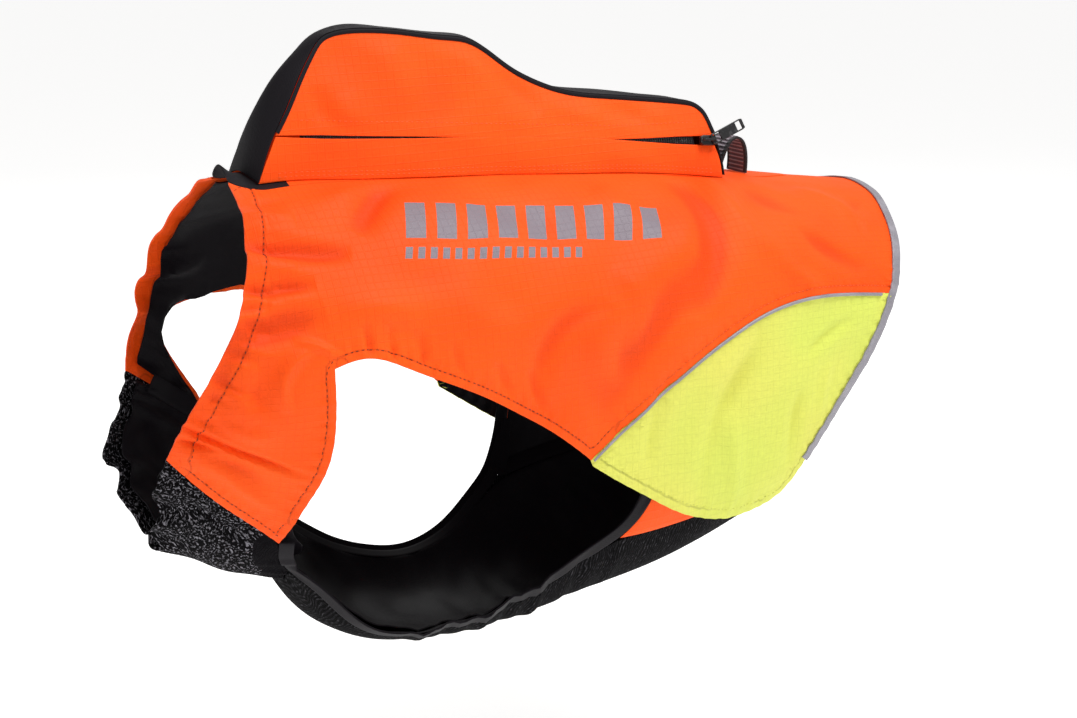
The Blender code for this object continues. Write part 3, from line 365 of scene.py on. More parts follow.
# %% Dark cloth
def black_finish(name, colour, rough, shine, depth):
    cloth = Finish(name, {"Specular IOR Level": shine})
    flat = cloth.laid_flat()
    along, around, _ = cloth.parts(flat)
    drift = cloth.noise(flat, 26.0, 3.0)
    grain = cloth.noise(cloth.stretched(flat, (500, 1400, 1)), 1.0, 2.0)
    paler = tuple(2.1 * c for c in colour)
    cloth.set("Base Color", cloth.mix(drift * 0.6 + grain * 0.4, colour, paler))
    cloth.set("Roughness", rough + (drift - 0.5) * 0.2)
    weave = cloth.waves(along, 2 * THREAD) * cloth.waves(around, 2 * THREAD)
    cloth.bump(weave * 0.4 + grain, depth)
    return cloth.material


black_cloth = black_finish("black_cloth", (0.0048, 0.0038, 0.0054), 0.66, 0.18, 0.00016)
lining_cloth = black_finish("lining_cloth", (0.0046, 0.0036, 0.0049), 0.50, 0.09, 0.00010)


# %% Knit
WALE = 0.0021
DARK_YARN = (0.0018, 0.0016, 0.0019)
FLECKED_YARN = ((0.045, 0.043, 0.048), (0.22, 0.21, 0.235))
RIBBED_YARN = ((0.012, 0.011, 0.013), (0.050, 0.048, 0.054))
TRIM_WIDE, TRIM_EDGE = 0.016, 0.0004
TRIM_BLACK = (0.0040, 0.0034, 0.0044)


def knit_finish(name, ribbed):
    """Two yarns knitted together: short bent pale threads on a near black ground."""
    knit = Finish(name, {"Specular IOR Level": 0.06})
    flat = knit.laid_flat()
    along, around, _ = knit.parts(flat)
    sway = knit.noise(flat, 60.0, 2.0) * 0.012
    rib = knit.waves(along + sway, WALE)
    loops = knit.waves(around + rib * 0.0005, WALE * 0.8)
    bent = knit.node("ShaderNodeCombineXYZ", {}, {0: along + sway, 1: around - sway, 2: 0.0})
    strands = knit.noise(knit.stretched(bent, (760, 350, 1)), 1.0, 1.0, 0.6)
    pale = knit.ramp(strands, 0.53, 0.62)
    if ribbed:
        pale = knit.ramp(rib, 0.35, 0.95) * (0.25 + 0.75 * pale)
    worn = knit.ramp(knit.noise(flat, 420.0, 2.0), 0.35, 0.65)
    pale_yarn = knit.mix(worn, *(RIBBED_YARN if ribbed else FLECKED_YARN))
    tone = knit.mix(pale, DARK_YARN, pale_yarn)
    if not ribbed:
        trim = 1.0 - knit.ramp(knit.own("from_seam"), TRIM_WIDE - TRIM_EDGE, TRIM_WIDE)
        tone = knit.mix(trim, tone, TRIM_BLACK)
    knit.set("Base Color", tone)
    knit.set("Roughness", 0.95 - pale * 0.1)
    knit.bump(rib * 0.5 + loops * 0.2 + strands * 0.9, 0.0006)
    return knit.material


flecked_knit = knit_finish("flecked_knit", ribbed=False)
ribbed_knit = knit_finish("ribbed_knit", ribbed=True)


# %% Tape, webbing, thread and metal
def tape_finish():
    """Reflective tape: a film of glass beads, a little scuffed."""
    tape = Finish("reflective_tape", {"Specular IOR Level": 0.5, "Metallic": 0.15})
    place = tape.place()
    beads = tape.cells(place, 2600.0)
    scuffs = tape.ramp(tape.noise(place, 90.0, 4.0), 0.45, 0.72)
    tone = tape.mix(beads, (0.235, 0.222, 0.250), (0.31, 0.295, 0.33))
    tape.set("Base Color", tape.mix(scuffs * 0.45, tone, (0.42, 0.40, 0.44)))
    tape.set("Roughness", 0.36 + beads * 0.12 + scuffs * 0.15)
    tape.bump(beads * 0.4 + scuffs * 0.2, 0.00012)
    return tape.material


def thread_finish(name, colour):
    """Twisted sewing thread."""
    thread = Finish(name, {"Roughness": 0.6, "Specular IOR Level": 0.3})
    twist = thread.noise(thread.place(), 1800.0, 1.0)
    paler = tuple(min(1.0, 1.6 * c) for c in colour)
    thread.set("Base Color", thread.mix(twist, colour, paler))
    thread.bump(twist, 0.0001)
    return thread.material


def metal_finish():
    """Black lacquer on zinc, thin where fingers rub it."""
    metal = Finish("black_lacquer", {"Specular IOR Level": 0.5})
    place = metal.place()
    rubbed = metal.ramp(metal.noise(place, 380.0, 4.0, 0.6), 0.56, 0.70)
    metal.set("Base Color", metal.mix(rubbed, (0.010, 0.010, 0.011), (0.12, 0.12, 0.125)))
    metal.set("Metallic", rubbed * 0.8)
    metal.set("Roughness", 0.30 + metal.noise(place, 900.0, 2.0) * 0.16)
    metal.bump(metal.noise(place, 1500.0, 2.0), 0.00004)
    return metal.material


reflective_tape = tape_finish()
dark_thread = thread_finish("dark_thread", (0.06, 0.012, 0.006))
orange_thread = thread_finish("orange_thread", (0.78, 0.10, 0.02))
yellow_thread = thread_finish("yellow_thread", (0.45, 0.46, 0.08))
black_lacquer = metal_finish()

paper = Finish("floor_paper", {"Base Color": (0.93, 0.93, 0.925, 1), "Roughness": 0.8,
                               "Emission Color": (1, 1, 1, 1), "Emission Strength": 0.60})
paper.bump(paper.noise(paper.place(), 300.0, 2.0), 0.0001)
floor.data.materials.append(paper.material)
print("finishes:", len(bpy.data.materials))

# %% [markdown]
# ## From a solid to a fine sheet
#
# A solid arrives as loose triangles. Merged, and with its triangles paired into quads, it
# is a grid that a subdivision surface can smooth. The wall's rim has to stay square, so its
# edges are creased first. A small bevel at the very end rounds the rim as a fold of cloth
# is round.

# %% Tools for a sheet
RIM_ANGLE = math.radians(50)
MERGE = 2e-6
RIM_ROUND = 0.0004


def only(*things):
    """Selects these objects alone, and makes the last one active."""
    bpy.ops.object.select_all(action="DESELECT")
    for thing in things:
        thing.select_set(True)
    bpy.context.view_layer.objects.active = things[-1]


def apply(piece, kind, **settings):
    """Adds a modifier and applies it."""
    modifier = piece.modifiers.new(kind, kind)
    for setting, value in settings.items():
        setattr(modifier, setting, value)
    only(piece)
    bpy.ops.object.modifier_apply(modifier=modifier.name)


def fine_copy(node, levels):
    """A copy of a solid as a fine grid of quads, with its rim kept square."""
    piece = bpy.data.objects.new(node + "_cloth", NODES[node].data.copy())
    bpy.context.scene.collection.objects.link(piece)
    piece.data.materials.clear()
    only(piece)
    bpy.ops.mesh.customdata_custom_splitnormals_clear()
    bpy.ops.object.mode_set(mode="EDIT")
    bpy.ops.mesh.select_mode(type="EDGE")
    bpy.ops.mesh.select_all(action="SELECT")
    bpy.ops.mesh.remove_doubles(threshold=MERGE)
    bpy.ops.mesh.tris_convert_to_quads(face_threshold=math.pi, shape_threshold=math.pi)
    bpy.ops.mesh.select_all(action="DESELECT")
    bpy.ops.mesh.edges_select_sharp(sharpness=RIM_ANGLE)
    bpy.ops.transform.edge_crease(value=1)
    bpy.ops.object.mode_set(mode="OBJECT")
    apply(piece, "SUBSURF", levels=levels, render_levels=levels)
    return piece


def points_of(piece):
    spots = np.zeros(len(piece.data.vertices) * 3)
    piece.data.vertices.foreach_get("co", spots)
    return spots.reshape(-1, 3)


def move_to(piece, spots):
    piece.data.vertices.foreach_set("co", np.asarray(spots, float).ravel())
    piece.data.update()


def keep(piece, name, kind, values):
    """Stores numbers at the points of a piece, for its material."""
    made = piece.data.attributes.new(name, kind, "POINT")
    made.data.foreach_set("vector" if kind == "FLOAT_VECTOR" else "value",
                          np.asarray(values, np.float32).ravel())


SIDES = ("left", "right")
LEVELS = {"lining": 2, "gusset": 2, "tail_binding": 2, "pocket_gusset": 2,
          "zip_tape": 2, "armhole_band": 2}
MODELLED = ("zip_slider", "pull_tab", "webbing_loop", "piping_left", "piping_right")
cloth = {}
for node in NODES:
    stem = node.rsplit("_", 1)[0] if node.endswith(SIDES) else node
    if node not in MODELLED:
        cloth[node] = fine_copy(node, LEVELS.get(stem, 3))
print({name: len(piece.data.polygons) for name, piece in cloth.items()})

# %% [markdown]
# ## Laying the cloth flat
#
# Folds are easier to place on flat cloth than on a body. Each point of the trunk is given
# two numbers: how far along the back it is, and how many degrees down from the spine it
# lies. One degree is about 2 mm of cloth. The same numbers, as lengths, are kept on the
# pieces, so that a weave or a print follows the cloth as it bends.

# %% Laying the cloth flat
TRUNK_HEIGHT = -0.124
ARC = 2.06  # mm of cloth for each degree round the trunk


def outwards(spots):
    """Unit arrows from the trunk's middle line to these points."""
    arrows = np.asarray(spots, float) - (0, 0, TRUNK_HEIGHT)
    arrows[:, 0] = 0
    return arrows / np.linalg.norm(arrows, axis=1)[:, None]


def degrees_down(spots):
    """0 at the spine and 180 at the breast, on either side."""
    return np.degrees(np.arctan2(np.abs(spots[:, 1]), spots[:, 2] - TRUNK_HEIGHT))


def near_side(spots):
    """1 on the vest's left, which the camera sees, and -1 on its right."""
    return np.where(spots[:, 1] < 0, 1.0, -1.0)


def trunk_place(spots):
    """Laid-out places in mm, with each side from the spine down."""
    return np.column_stack([spots[:, 0] / MM, degrees_down(spots) * ARC])


def round_place(spots):
    """Laid-out places in mm for a piece that crosses the breast: the right goes on from 180."""
    down = degrees_down(spots)
    down = np.where(near_side(spots) > 0, down, 360 - down)
    return np.column_stack([spots[:, 0] / MM, down * ARC])


def wall_place(spots):
    """Places on the pocket's walls in mm, seen from the side."""
    return spots[:, (0, 2)] / MM


def smooth(values, low, high):
    share = np.clip((values - low) / (high - low), 0, 1)
    return share * share * (3 - 2 * share)


print("half of the trunk is", round(180 * ARC), "mm of cloth")

# %% [markdown]
# ## Hems
#
# A hem is a stretch of a panel's rim. It is needed three times: it is thicker than the
# cloth, its seam draws small puckers, and its stitches follow it. So each hem is found once,
# as a row of the rim's own points in order, with its length along it.

# %% Hems
HEM_REACH = 0.05


def rim_of(piece, outward):
    """The longest rim of a sheet's outer face, as point numbers in order.

    The outer face is all that can be reached from one of its faces with no crease crossed.
    """
    mesh = bmesh.new()
    mesh.from_mesh(piece.data)
    mesh.faces.ensure_lookup_table()
    creases = mesh.edges.layers.float["crease_edge"]
    arrows = outward(np.array([face.calc_center_median() for face in mesh.faces]))
    normals = np.array([face.normal for face in mesh.faces])
    first = mesh.faces[int(np.argmax((arrows * normals).sum(axis=1)))]
    outer, waiting = {first}, [first]
    while waiting:
        for edge in waiting.pop().edges:
            found = [face for face in edge.link_faces if face not in outer]
            if edge[creases] < 0.5:
                outer.update(found)
                waiting.extend(found)
    joined = {}
    for edge in mesh.edges:
        if sum(face in outer for face in edge.link_faces) == 1:
            one, other = (point.index for point in edge.verts)
            joined.setdefault(one, []).append(other)
            joined.setdefault(other, []).append(one)
    loops, left = [], sorted(joined)
    unused = set(left)
    for start in left:
        if start not in unused:
            continue
        loop, here = [], start
        while here is not None:
            unused.discard(here)
            loop.append(here)
            here = next((v for v in joined[here] if v in unused), None)
        loops.append(loop)
    mesh.free()
    return max(loops, key=len)


class Hem:
    """A stretch of a rim from one place to another, by way of a third."""

    def __init__(self, piece, start, end, past, outward=outwards, place=trunk_place):
        loop = np.array(rim_of(piece, outward))
        flat = place(points_of(piece)[loop])

        def nearest(place):
            return int(np.argmin(np.linalg.norm(flat - place, axis=1)))

        first, last, via = (nearest(place) for place in (start, end, past))
        loop = np.roll(loop, -first)
        last, via = (last - first) % len(loop), (via - first) % len(loop)
        if via > last:
            loop, last = np.roll(loop[::-1], 1), len(loop) - last
        self.piece = piece
        self.outward = outward
        self.numbers = loop[:last + 1]
        self.spots = points_of(piece)[self.numbers]
        self.run = np.concatenate(
            [[0], np.cumsum(np.linalg.norm(np.diff(self.spots, axis=0), axis=1))])
        self.tree = KDTree(len(self.spots))
        for k, spot in enumerate(self.spots):
            self.tree.insert(spot, k)
        self.tree.balance()

    def length(self):
        return self.run[-1]

    def measure(self, spots):
        """How far each point is from the hem, and where along the hem that is, in metres."""
        low, high = self.spots.min(axis=0) - HEM_REACH, self.spots.max(axis=0) + HEM_REACH
        near = ((spots > low) & (spots < high)).all(axis=1)
        far, run = np.full(len(spots), HEM_REACH), np.zeros(len(spots))
        found = [self.tree.find(spot)[1:] for spot in spots[near]]
        far[near] = [away for _, away in found]
        run[near] = self.run[[k for k, _ in found]]
        return far, run


def at(x, degrees):
    """A place on the laid-out trunk, in mm."""
    return np.array([x, degrees * ARC])


HEM_COLUMNS = ("name", "start", "end", "past", "wide")
HEMS = (
    ("neck", at(-183, 7), at(-241, 112), at(-198, 39), 13.0),
    ("strap_end", at(-241, 117), at(-176, 134), at(-203, 136), 6.0),
    ("strap_rear", at(-172, 132), at(-153, 74), at(-157, 104), 6.5),
    ("armhole", at(-151, 71), at(44, 112), at(-31, 98), 6.5),
    ("under_flap", at(46, 110), at(286, 66), at(123, 84), 6.0),
)
hems = {}
for side in SIDES:
    for row in HEMS:
        hem = dict(zip(HEM_COLUMNS, row))
        made = Hem(cloth["side_" + side], hem["start"], hem["end"], hem["past"])
        made.wide = hem["wide"] * MM
        hems[hem["name"], side] = made
    made = Hem(cloth["flap_" + side], at(21, 117), at(276, 78), at(171, 140))
    made.wide = 7.0 * MM
    hems["flap", side] = made
hems["chest_front", "both"] = Hem(cloth["chest_panel"], at(-245, 114), at(-227, 264),
                                  at(-241, 185), place=round_place)
hems["chest_rear", "both"] = Hem(cloth["chest_panel"], at(-179, 147), at(-162, 234),
                                 at(-160, 185), place=round_place)
hems["belly_rear", "both"] = Hem(cloth["belly_panel"], at(192, 140), at(192, 220),
                                 at(186, 180), place=round_place)
for name in ("chest_front", "chest_rear", "belly_rear"):
    hems[name, "both"].wide = 0.002
print({" ".join(name): round(hem.length() / MM) for name, hem in hems.items()}, "mm long")

# %% [markdown]
# ## Creases, placed one by one
#
# Cloth that hangs on a body creases where it is pulled or pushed together. Each crease here
# is a line from one place on the laid-out cloth to another, bowed sideways, with its own
# width and height. Below zero it is a trough. The two sides of the vest are worn alike but
# not the same, so each side has a table of its own.

# %% The tables of creases
FOLD_COLUMNS = ("x_a", "down_a", "x_b", "down_b", "bow", "width", "rise")
LEFT_FOLDS = (
    # the neck edge
    (-204, 31, -132, 41, 2, 6.5, -4.2),
    (-208, 47, -160, 49, 1, 4.5, -4.0),
    (-214, 53.5, -190, 53, 0, 3.0, -2.4),
    (-228, 62, -158, 58, 1, 9.0, -4.0),
    (-196, 24, -158, 27, 2, 8.0, 2.6),
    (-200, 41, -168, 43, 1, 5.0, 1.8),
    # the strap
    (-214, 64, -225, 86, 3, 7.5, -3.0),
    (-170, 67.5, -186, 88, 11, 4.2, 3.0),
    (-196, 68, -203, 86, 3, 6.0, -1.8),
    (-226, 80, -206, 92, -3, 6.5, 2.2),
    (-248, 88, -170, 113.5, 6, 2.6, -3.2),
    (-246, 97, -219, 104, 1, 2.2, -1.8),
    (-228, 89, -194, 98, 2, 4.5, 1.6),
    (-152, 72, -180, 64, 1, 2.6, 1.6),
    (-236, 104, -190, 122, -4, 5.0, -1.6),
    (-222, 112, -186, 130, 3, 4.0, 1.4),
    # the shoulder and the armhole
    (-78, 14, -123, 35, 3, 8.0, -3.2),
    (-104, 12, -148, 26, -4, 9.0, 1.5),
    (-128, 44, -60, 52, 6, 12.0, -1.3),
    (-150, 58, -96, 64, -5, 7.0, 1.3),
    (-136, 63, -131, 74, 0, 3.0, -1.6),
    (-119, 64, -117, 76, 1, 2.6, -1.3),
    (-100, 67, -97, 79, 0, 3.4, -1.7),
    (-77, 72, -72, 84, 1, 2.8, -1.2),
    (-50, 80, -41, 92, -1, 3.2, -1.5),
    (-24, 84, -14, 100, 2, 3.6, -1.6),
    # the middle
    (131, 17, 104, 76, -12, 12.0, -4.2),
    (113, 56, 22, 108, 5, 14.0, -3.4),
    (158, 17, 192, 62, 16, 10.0, 3.0),
    (-20, 95, 38, 67, -20, 7.5, -2.5),
    (20, 74, 44, 96, 0, 9.0, 1.8),
    (47, 55, 63, 67, 0, 6.5, 1.2),
    (66, 66, 48, 84, -4, 7.0, 1.3),
    (-70, 60, -20, 72, 5, 10.0, 1.4),
    (-40, 30, 20, 44, -6, 14.0, -1.4),
    (60, 24, 92, 48, 5, 12.0, 1.8),
    # the rump and the flap
    (180, 24, 236, 40, 8, 11.0, -2.2),
    (232, 22, 282, 48, -7, 9.0, 1.8),
    (206, 44, 262, 66, 6, 8.0, -2.6),
    (176, 60, 214, 76, -4, 6.0, 2.0),
    (290, 28, 268, 52, 4, 6.0, -1.7),
    (168, 78, 106, 136, 7, 10.0, -1.9),
    (150, 84, 96, 128, 9, 8.0, 1.2),
    (244, 84, 196, 96, 3, 4.2, -2.2),
    (194, 106, 186, 130, 1, 5.5, -2.0),
    (128, 108, 140, 140, -3, 6.0, 1.6),
    (84, 92, 66, 122, 3, 5.5, -1.8),
    (222, 100, 214, 118, 2, 4.0, 1.4),
    # the belly
    (10, 171, -6, 146, 2, 4.0, 2.6),
    (-8, 172, -24, 148, 1, 4.0, -2.4),
    (-26, 172, -42, 148, 1, 4.5, 2.6),
    (-52, 172, -66, 148, -1, 4.5, -2.2),
    (-74, 172, -84, 152, 1, 4.5, 2.2),
    (40, 168, 28, 146, 0, 5.0, -1.6),
    (66, 164, 56, 146, 1, 5.0, 1.4),
)
RIGHT_FOLDS = (
    # the neck edge
    (-202, 30, -140, 36, -2, 9.0, -1.6),
    (-222, 61, -164, 57, -1, 6.0, -4.6),
    (-216, 52, -176, 52, 1, 9.0, 2.0),
    # the strap
    (-210, 68, -226, 90, 4, 6.5, -2.8),
    (-168, 70, -188, 92, 10, 5.0, 2.7),
    (-246, 94, -172, 109, 7, 3.0, -3.0),
    (-240, 103, -206, 112, -2, 3.4, -1.7),
    (-224, 84, -200, 96, 3, 5.5, 1.9),
    (-226, 110, -184, 128, 3, 4.6, -1.7),
    # the shoulder and the armhole
    (-84, 15, -128, 32, 4, 9.0, -2.9),
    (-122, 48, -52, 54, -6, 11.0, -1.6),
    (-132, 62, -127, 75, 1, 3.2, -1.5),
    (-110, 65, -104, 77, 0, 2.8, -1.6),
    (-84, 71, -80, 82, 1, 3.2, -1.2),
    (-58, 77, -50, 90, -1, 3.4, -1.5),
    (-18, 87, -10, 102, 2, 3.4, -1.5),
    # the middle
    (120, 16, 104, 58, -10, 9.0, -4.4),
    (106, 56, 38, 102, 6, 9.5, -4.0),
    (148, 18, 178, 58, 14, 8.5, 3.0),
    (-16, 70, 28, 60, 3, 5.0, -2.8),
    (2, 76, 24, 96, -2, 6.5, -2.6),
    (30, 70, 56, 90, 1, 5.0, 2.0),
    (-66, 28, -14, 46, 7, 12.0, -1.5),
    (-60, 62, -8, 74, -5, 9.0, 1.4),
    (52, 28, 84, 52, 6, 11.0, 1.6),
    # the rump and the flap
    (172, 26, 232, 44, -8, 10.0, -2.3),
    (226, 26, 276, 52, 6, 9.0, 1.9),
    (196, 48, 256, 70, 5, 7.0, -2.4),
    (286, 32, 262, 56, -4, 6.5, -1.6),
    (176, 80, 120, 134, -8, 7.5, -3.0),
    (136, 90, 92, 126, 6, 6.0, 1.9),
    (238, 86, 200, 99, 2, 4.6, -2.0),
    (206, 104, 196, 127, -2, 5.0, -1.8),
    (94, 96, 76, 124, 2, 5.0, -1.7),
)
print(len(LEFT_FOLDS), "creases on the left and", len(RIGHT_FOLDS), "on the right")

# %% Heights from a table of creases
SHOULDER = 0.14


def crease_height(table, along, across, unit):
    """The height in mm at flat places in mm. One step down a table is `unit` mm of cloth."""
    height = np.zeros(len(along))
    for row in table:
        fold = dict(zip(FOLD_COLUMNS, row))
        start = np.array([fold["x_a"], fold["down_a"] * unit])
        chord = np.array([fold["x_b"], fold["down_b"] * unit]) - start
        length = np.linalg.norm(chord)
        chord /= length
        from_start = np.column_stack([along, across]) - start
        share = from_start @ chord / length
        inside = np.clip(share, 0, 1)
        hump = 4 * inside * (1 - inside)
        off = from_start @ (-chord[1], chord[0]) - fold["bow"] * hump
        far = np.hypot(off, (share - inside) * length) / fold["width"]
        profile = np.exp(-far ** 2) - SHOULDER * np.exp(-((far - 2.0) / 0.8) ** 2)
        height += fold["rise"] * profile * hump ** 0.7
    return height


# %% [markdown]
# ## The height of the cloth on the trunk
#
# Every piece on the trunk is raised by the same function of its flat place, whichever layer
# it is in. So a lining follows its panel, and a seam between two panels stays shut. The
# function adds the creases, a slow slackness, and the puckers that each hem throws. Near the
# spine, where the pocket is sewn on, and under the breast it dies away.

# %% The height of the cloth on the trunk
CALM_AT_SPINE = (13, 22)
CALM_AT_BREAST = (158, 178)
SLACK = 0.75
PUCKERS = {"neck": (17.0, 11.0, 1.5), "strap_end": (9.0, 6.0, 0.6),
           "strap_rear": (9.5, 6.0, 0.7), "armhole": (8.5, 6.0, 0.8),
           "under_flap": (9.0, 6.0, 0.6), "flap": (11.0, 7.0, 0.7),
           "chest_front": (31.0, 15.0, 3.4), "chest_rear": (17.0, 12.0, 1.5),
           "belly_rear": (14.0, 9.0, 1.0)}
CHEST_FREE = (6, 26)
CHEST_PULL = 4.2
DEEPER = 1.3


def slack(along, across, seed):
    """Slow waves in mm, like cloth that is a little too big."""
    bend = 9 * np.sin(across / 31 + seed) + 7 * np.sin(along / 47 - seed)
    waves = np.sin((along + bend) / 23 + 1.7 * seed) * np.sin((across - bend) / 17 + seed)
    return SLACK * (waves + 0.55 * np.sin((along + 1.4 * across + bend) / 12.5 + 2.3 * seed))


FAR_NECK = 0.35


def gathers(run, pitch, seed):
    """Uneven waves along a seam, from -1 to 1, for a run in mm."""
    sway = 0.9 * np.sin(run / pitch * 1.31 + seed)
    fine = np.sin(run * 2 * math.pi / (0.57 * pitch) + 3 * seed)
    return 0.7 * np.sin(run * 2 * math.pi / pitch + sway) + 0.3 * fine


def trunk_height(spots):
    """How far the cloth at these points is raised, in metres."""
    along, down = spots[:, 0] / MM, degrees_down(spots)
    near = near_side(spots) > 0
    height = np.zeros(len(spots))
    for table, here, seed in ((LEFT_FOLDS, near, 0.4), (RIGHT_FOLDS, ~near, 1.9)):
        flat = along[here], down[here] * ARC
        height[here] = DEEPER * crease_height(table, *flat, ARC) + slack(*flat, seed)
    height *= smooth(down, *CALM_AT_SPINE) * (1 - smooth(down, *CALM_AT_BREAST))
    sides = {"left": near, "right": ~near, "both": down > 90}
    for seed, ((name, side), hem) in enumerate(hems.items()):
        here = sides[side]
        pitch, reach, rise = PUCKERS[name]
        far, run = hem.measure(spots[here])
        from_seam = np.abs(far - hem.wide) / MM
        rise *= FAR_NECK if (name, side) == ("neck", "right") else 1.0
        wave = rise * gathers(run / MM, pitch, seed) * np.exp(-(from_seam / reach) ** 2)
        if name.startswith("chest"):
            wave *= from_ends(hem, run)
        height[here] += wave * smooth(down[here], *CALM_AT_SPINE)
    return height * MM


def from_ends(hem, run):
    """0 at both ends of a hem, where it is sewn down, and 1 in between."""
    return (smooth(run / MM, *CHEST_FREE) * smooth((hem.length() - run) / MM, *CHEST_FREE))


def chest_pull(spots):
    """How far the chest's free edge is drawn back along the body, in metres."""
    hem = hems["chest_front", "both"]
    far, run = hem.measure(spots)
    wave = 0.25 + gathers(run / MM, 43.0, 2.2)
    return CHEST_PULL * MM * wave * np.exp(-(far / 0.016) ** 2) * from_ends(hem, run)


HEM_THICK, SEAM_DEEP, SEAM_WIDE, STITCH_SHARE = 0.00045, 0.0004, 0.0012, 0.86


def hem_relief(spots, names, side):
    """The outer face of a hem: a fold of cloth thicker, with a groove along its seam."""
    relief = np.zeros(len(spots))
    seam = np.full(len(spots), 1.0)
    for name in names:
        hem = hems[name, side]
        far, _ = hem.measure(spots)
        folded = 1 - smooth(far, hem.wide, hem.wide + 0.0012)
        relief = np.maximum(relief, HEM_THICK * folded)
        seam = np.minimum(seam, np.abs(far - hem.wide * STITCH_SHARE))
    return relief - SEAM_DEEP * np.exp(-(seam / SEAM_WIDE) ** 2), seam


print("slackness of", SLACK, "mm, hems", HEM_THICK / MM, "mm thicker")

# %% [markdown]
# ## Creasing the trunk
#
# Now every sheet of the trunk is moved out or in by its height. The flat place of each point
# is stored first, while the cloth is still smooth. Where a trough is deep, light bounces
# between its walls and the dye looks redder, so the height is stored too, and the finish
# paints a darker shade into the troughs from it.

# %% Creasing the trunk
TRUNK = [node for node in cloth if not node.startswith(("pocket", "zip"))]
SIDE_HEMS = ("neck", "strap_end", "strap_rear", "armhole", "under_flap")
WRINKLE_DEEP = 1.3


def facing(piece, arrows):
    """Which points lie on the face that looks along the arrows, from 0 to 1."""
    normals = np.zeros(len(piece.data.vertices) * 3)
    piece.data.vertices.foreach_get("normal", normals)
    return smooth((normals.reshape(-1, 3) * arrows).sum(axis=1), 0.1, 0.5)


def lining_wrinkles(spots):
    """Small wrinkles that only go inwards, away from the panel behind."""
    along, across = spots[:, 0] / MM, degrees_down(spots) * ARC
    bend = 6 * np.sin(across / 14) + 5 * np.sin(along / 19)
    waves = np.sin((along * 0.8 + bend) / 5.2) * np.sin((across + 1.6 * bend) / 11)
    fine = np.sin((along - 0.7 * across + 2 * bend) / 3.9)
    return WRINKLE_DEEP * MM * np.clip(0.5 * waves + 0.3 * fine + 0.35, 0, 1)


TUCK_FROM, TUCK_TIP = (150, 175), (180, 211)
TUCK_SIDE, TUCK_LONG, TUCK_LOW, BACK_FALL = 1.6, 19.0, 0.7, 0.068


def tucked(spots):
    """The back panel with its pointed end let in under the seams beside and behind it."""
    spots = spots.copy()
    share = smooth(spots[:, 0] / MM, *TUCK_FROM)
    tip = smooth(spots[:, 0] / MM, *TUCK_TIP)
    spots[:, 1] += np.clip(spots[:, 1] / (2 * MM), -1, 1) * share * TUCK_SIDE * MM
    spots[:, 2] -= (share * TUCK_LOW + tip * TUCK_LONG * BACK_FALL) * MM
    spots[:, 0] += tip * TUCK_LONG * MM
    return spots


for node in TRUNK:
    piece = cloth[node]
    spots = points_of(piece)
    side = "left" if node.endswith("left") else "right"
    arrows = outwards(spots)
    down = degrees_down(spots)
    flat = np.column_stack([spots[:, 0], down * ARC * MM, np.zeros(len(spots))])
    if node.startswith(("chest", "belly")):
        flat[:, 1] = (180 - down) * ARC * MM * near_side(spots)
    keep(piece, "laid_flat", "FLOAT_VECTOR", flat)
    height = trunk_height(spots)
    keep(piece, "height", "FLOAT", height)
    seam = np.full(len(spots), 1.0)
    if node.startswith(("side", "flap")):
        names = SIDE_HEMS if node.startswith("side") else ("flap",)
        relief, seam = hem_relief(spots, names, side)
        height = height + relief * facing(piece, arrows)
    if node.startswith("lining") or node.endswith("lining"):
        height = height - lining_wrinkles(spots)
    if node == "chest_panel":
        seam = hems["chest_rear", "both"].measure(spots)[0]
    keep(piece, "from_seam", "FLOAT", seam)
    spots = spots + arrows * height[:, None]
    if node.startswith("chest"):
        spots[:, 0] += chest_pull(spots)
    if node == "back_panel":
        spots = tucked(spots)
    move_to(piece, spots)
    print(node, "moved by", [round(float(h) / MM, 1) for h in (height.min(), height.max())], "mm")

# %% [markdown]
# ## Creasing the pocket
#
# The pocket stands up from the back, so its walls are laid flat from the side: along the
# back and up. They are pushed sideways, least at their rims, so that the band, the zip's
# tape and the wall under it keep together.

# %% Creasing the pocket
POCKET_FOLDS = (
    (-128, 62, -120, 34, 1, 7.0, -2.4),
    (-108, 58, -99, 30, -2, 9.0, 1.6),
    (-90, 92, -62, 46, 4, 12.0, 1.3),
    (-62, 86, -20, 40, -4, 14.0, -1.9),
    (-30, 88, 4, 44, 3, 10.0, 1.5),
    (8, 66, 34, 34, 2, 9.0, -1.8),
    (36, 58, 84, 30, -3, 10.0, 1.4),
    (72, 50, 118, 26, 2, 8.0, -1.5),
    (112, 44, 138, 24, 0, 7.0, 1.1),
)
POCKET_CALM = 14.0
POCKET = {"pocket_wall_left": -1, "pocket_band_left": -1, "zip_tape": -1,
          "pocket_wall_right": 1, "pocket_gusset": 0}


ZIP_LINE = ((-155, 33.8), (-72, 27.8), (-14, 23.8), (47, 18.8), (110, 12.8), (174, 7.8))
ZIP_GAPE = ((-156, -1.5), (-125, -0.3), (-60, -0.2), (-10, -0.8), (20, -1.1), (85, -1.0),
            (112, 0.0), (142, 1.3), (170, 1.7))
GAPE_REACH = 9.0


def zip_height(along):
    """How high the zip runs, in mm, at a place along the back in mm."""
    return np.interp(along, *zip(*ZIP_LINE))


def gape(along, up):
    """How far the cloth draws back from the zip, in mm, up above it and down below it."""
    off = up - zip_height(along)
    opened = np.interp(along, *zip(*ZIP_GAPE))
    return np.sign(off) * opened * np.exp(-(off / GAPE_REACH) ** 2)


def seen_flat(spots):
    """The same points with their sideways place taken away."""
    return spots * (1, 0, 1)


def near_outward(spots):
    return np.tile((0.0, -1.0, 0.0), (len(spots), 1))


def far_outward(spots):
    return -near_outward(spots)


POCKET_MIDDLE = (-0.112, 0, 0.030)


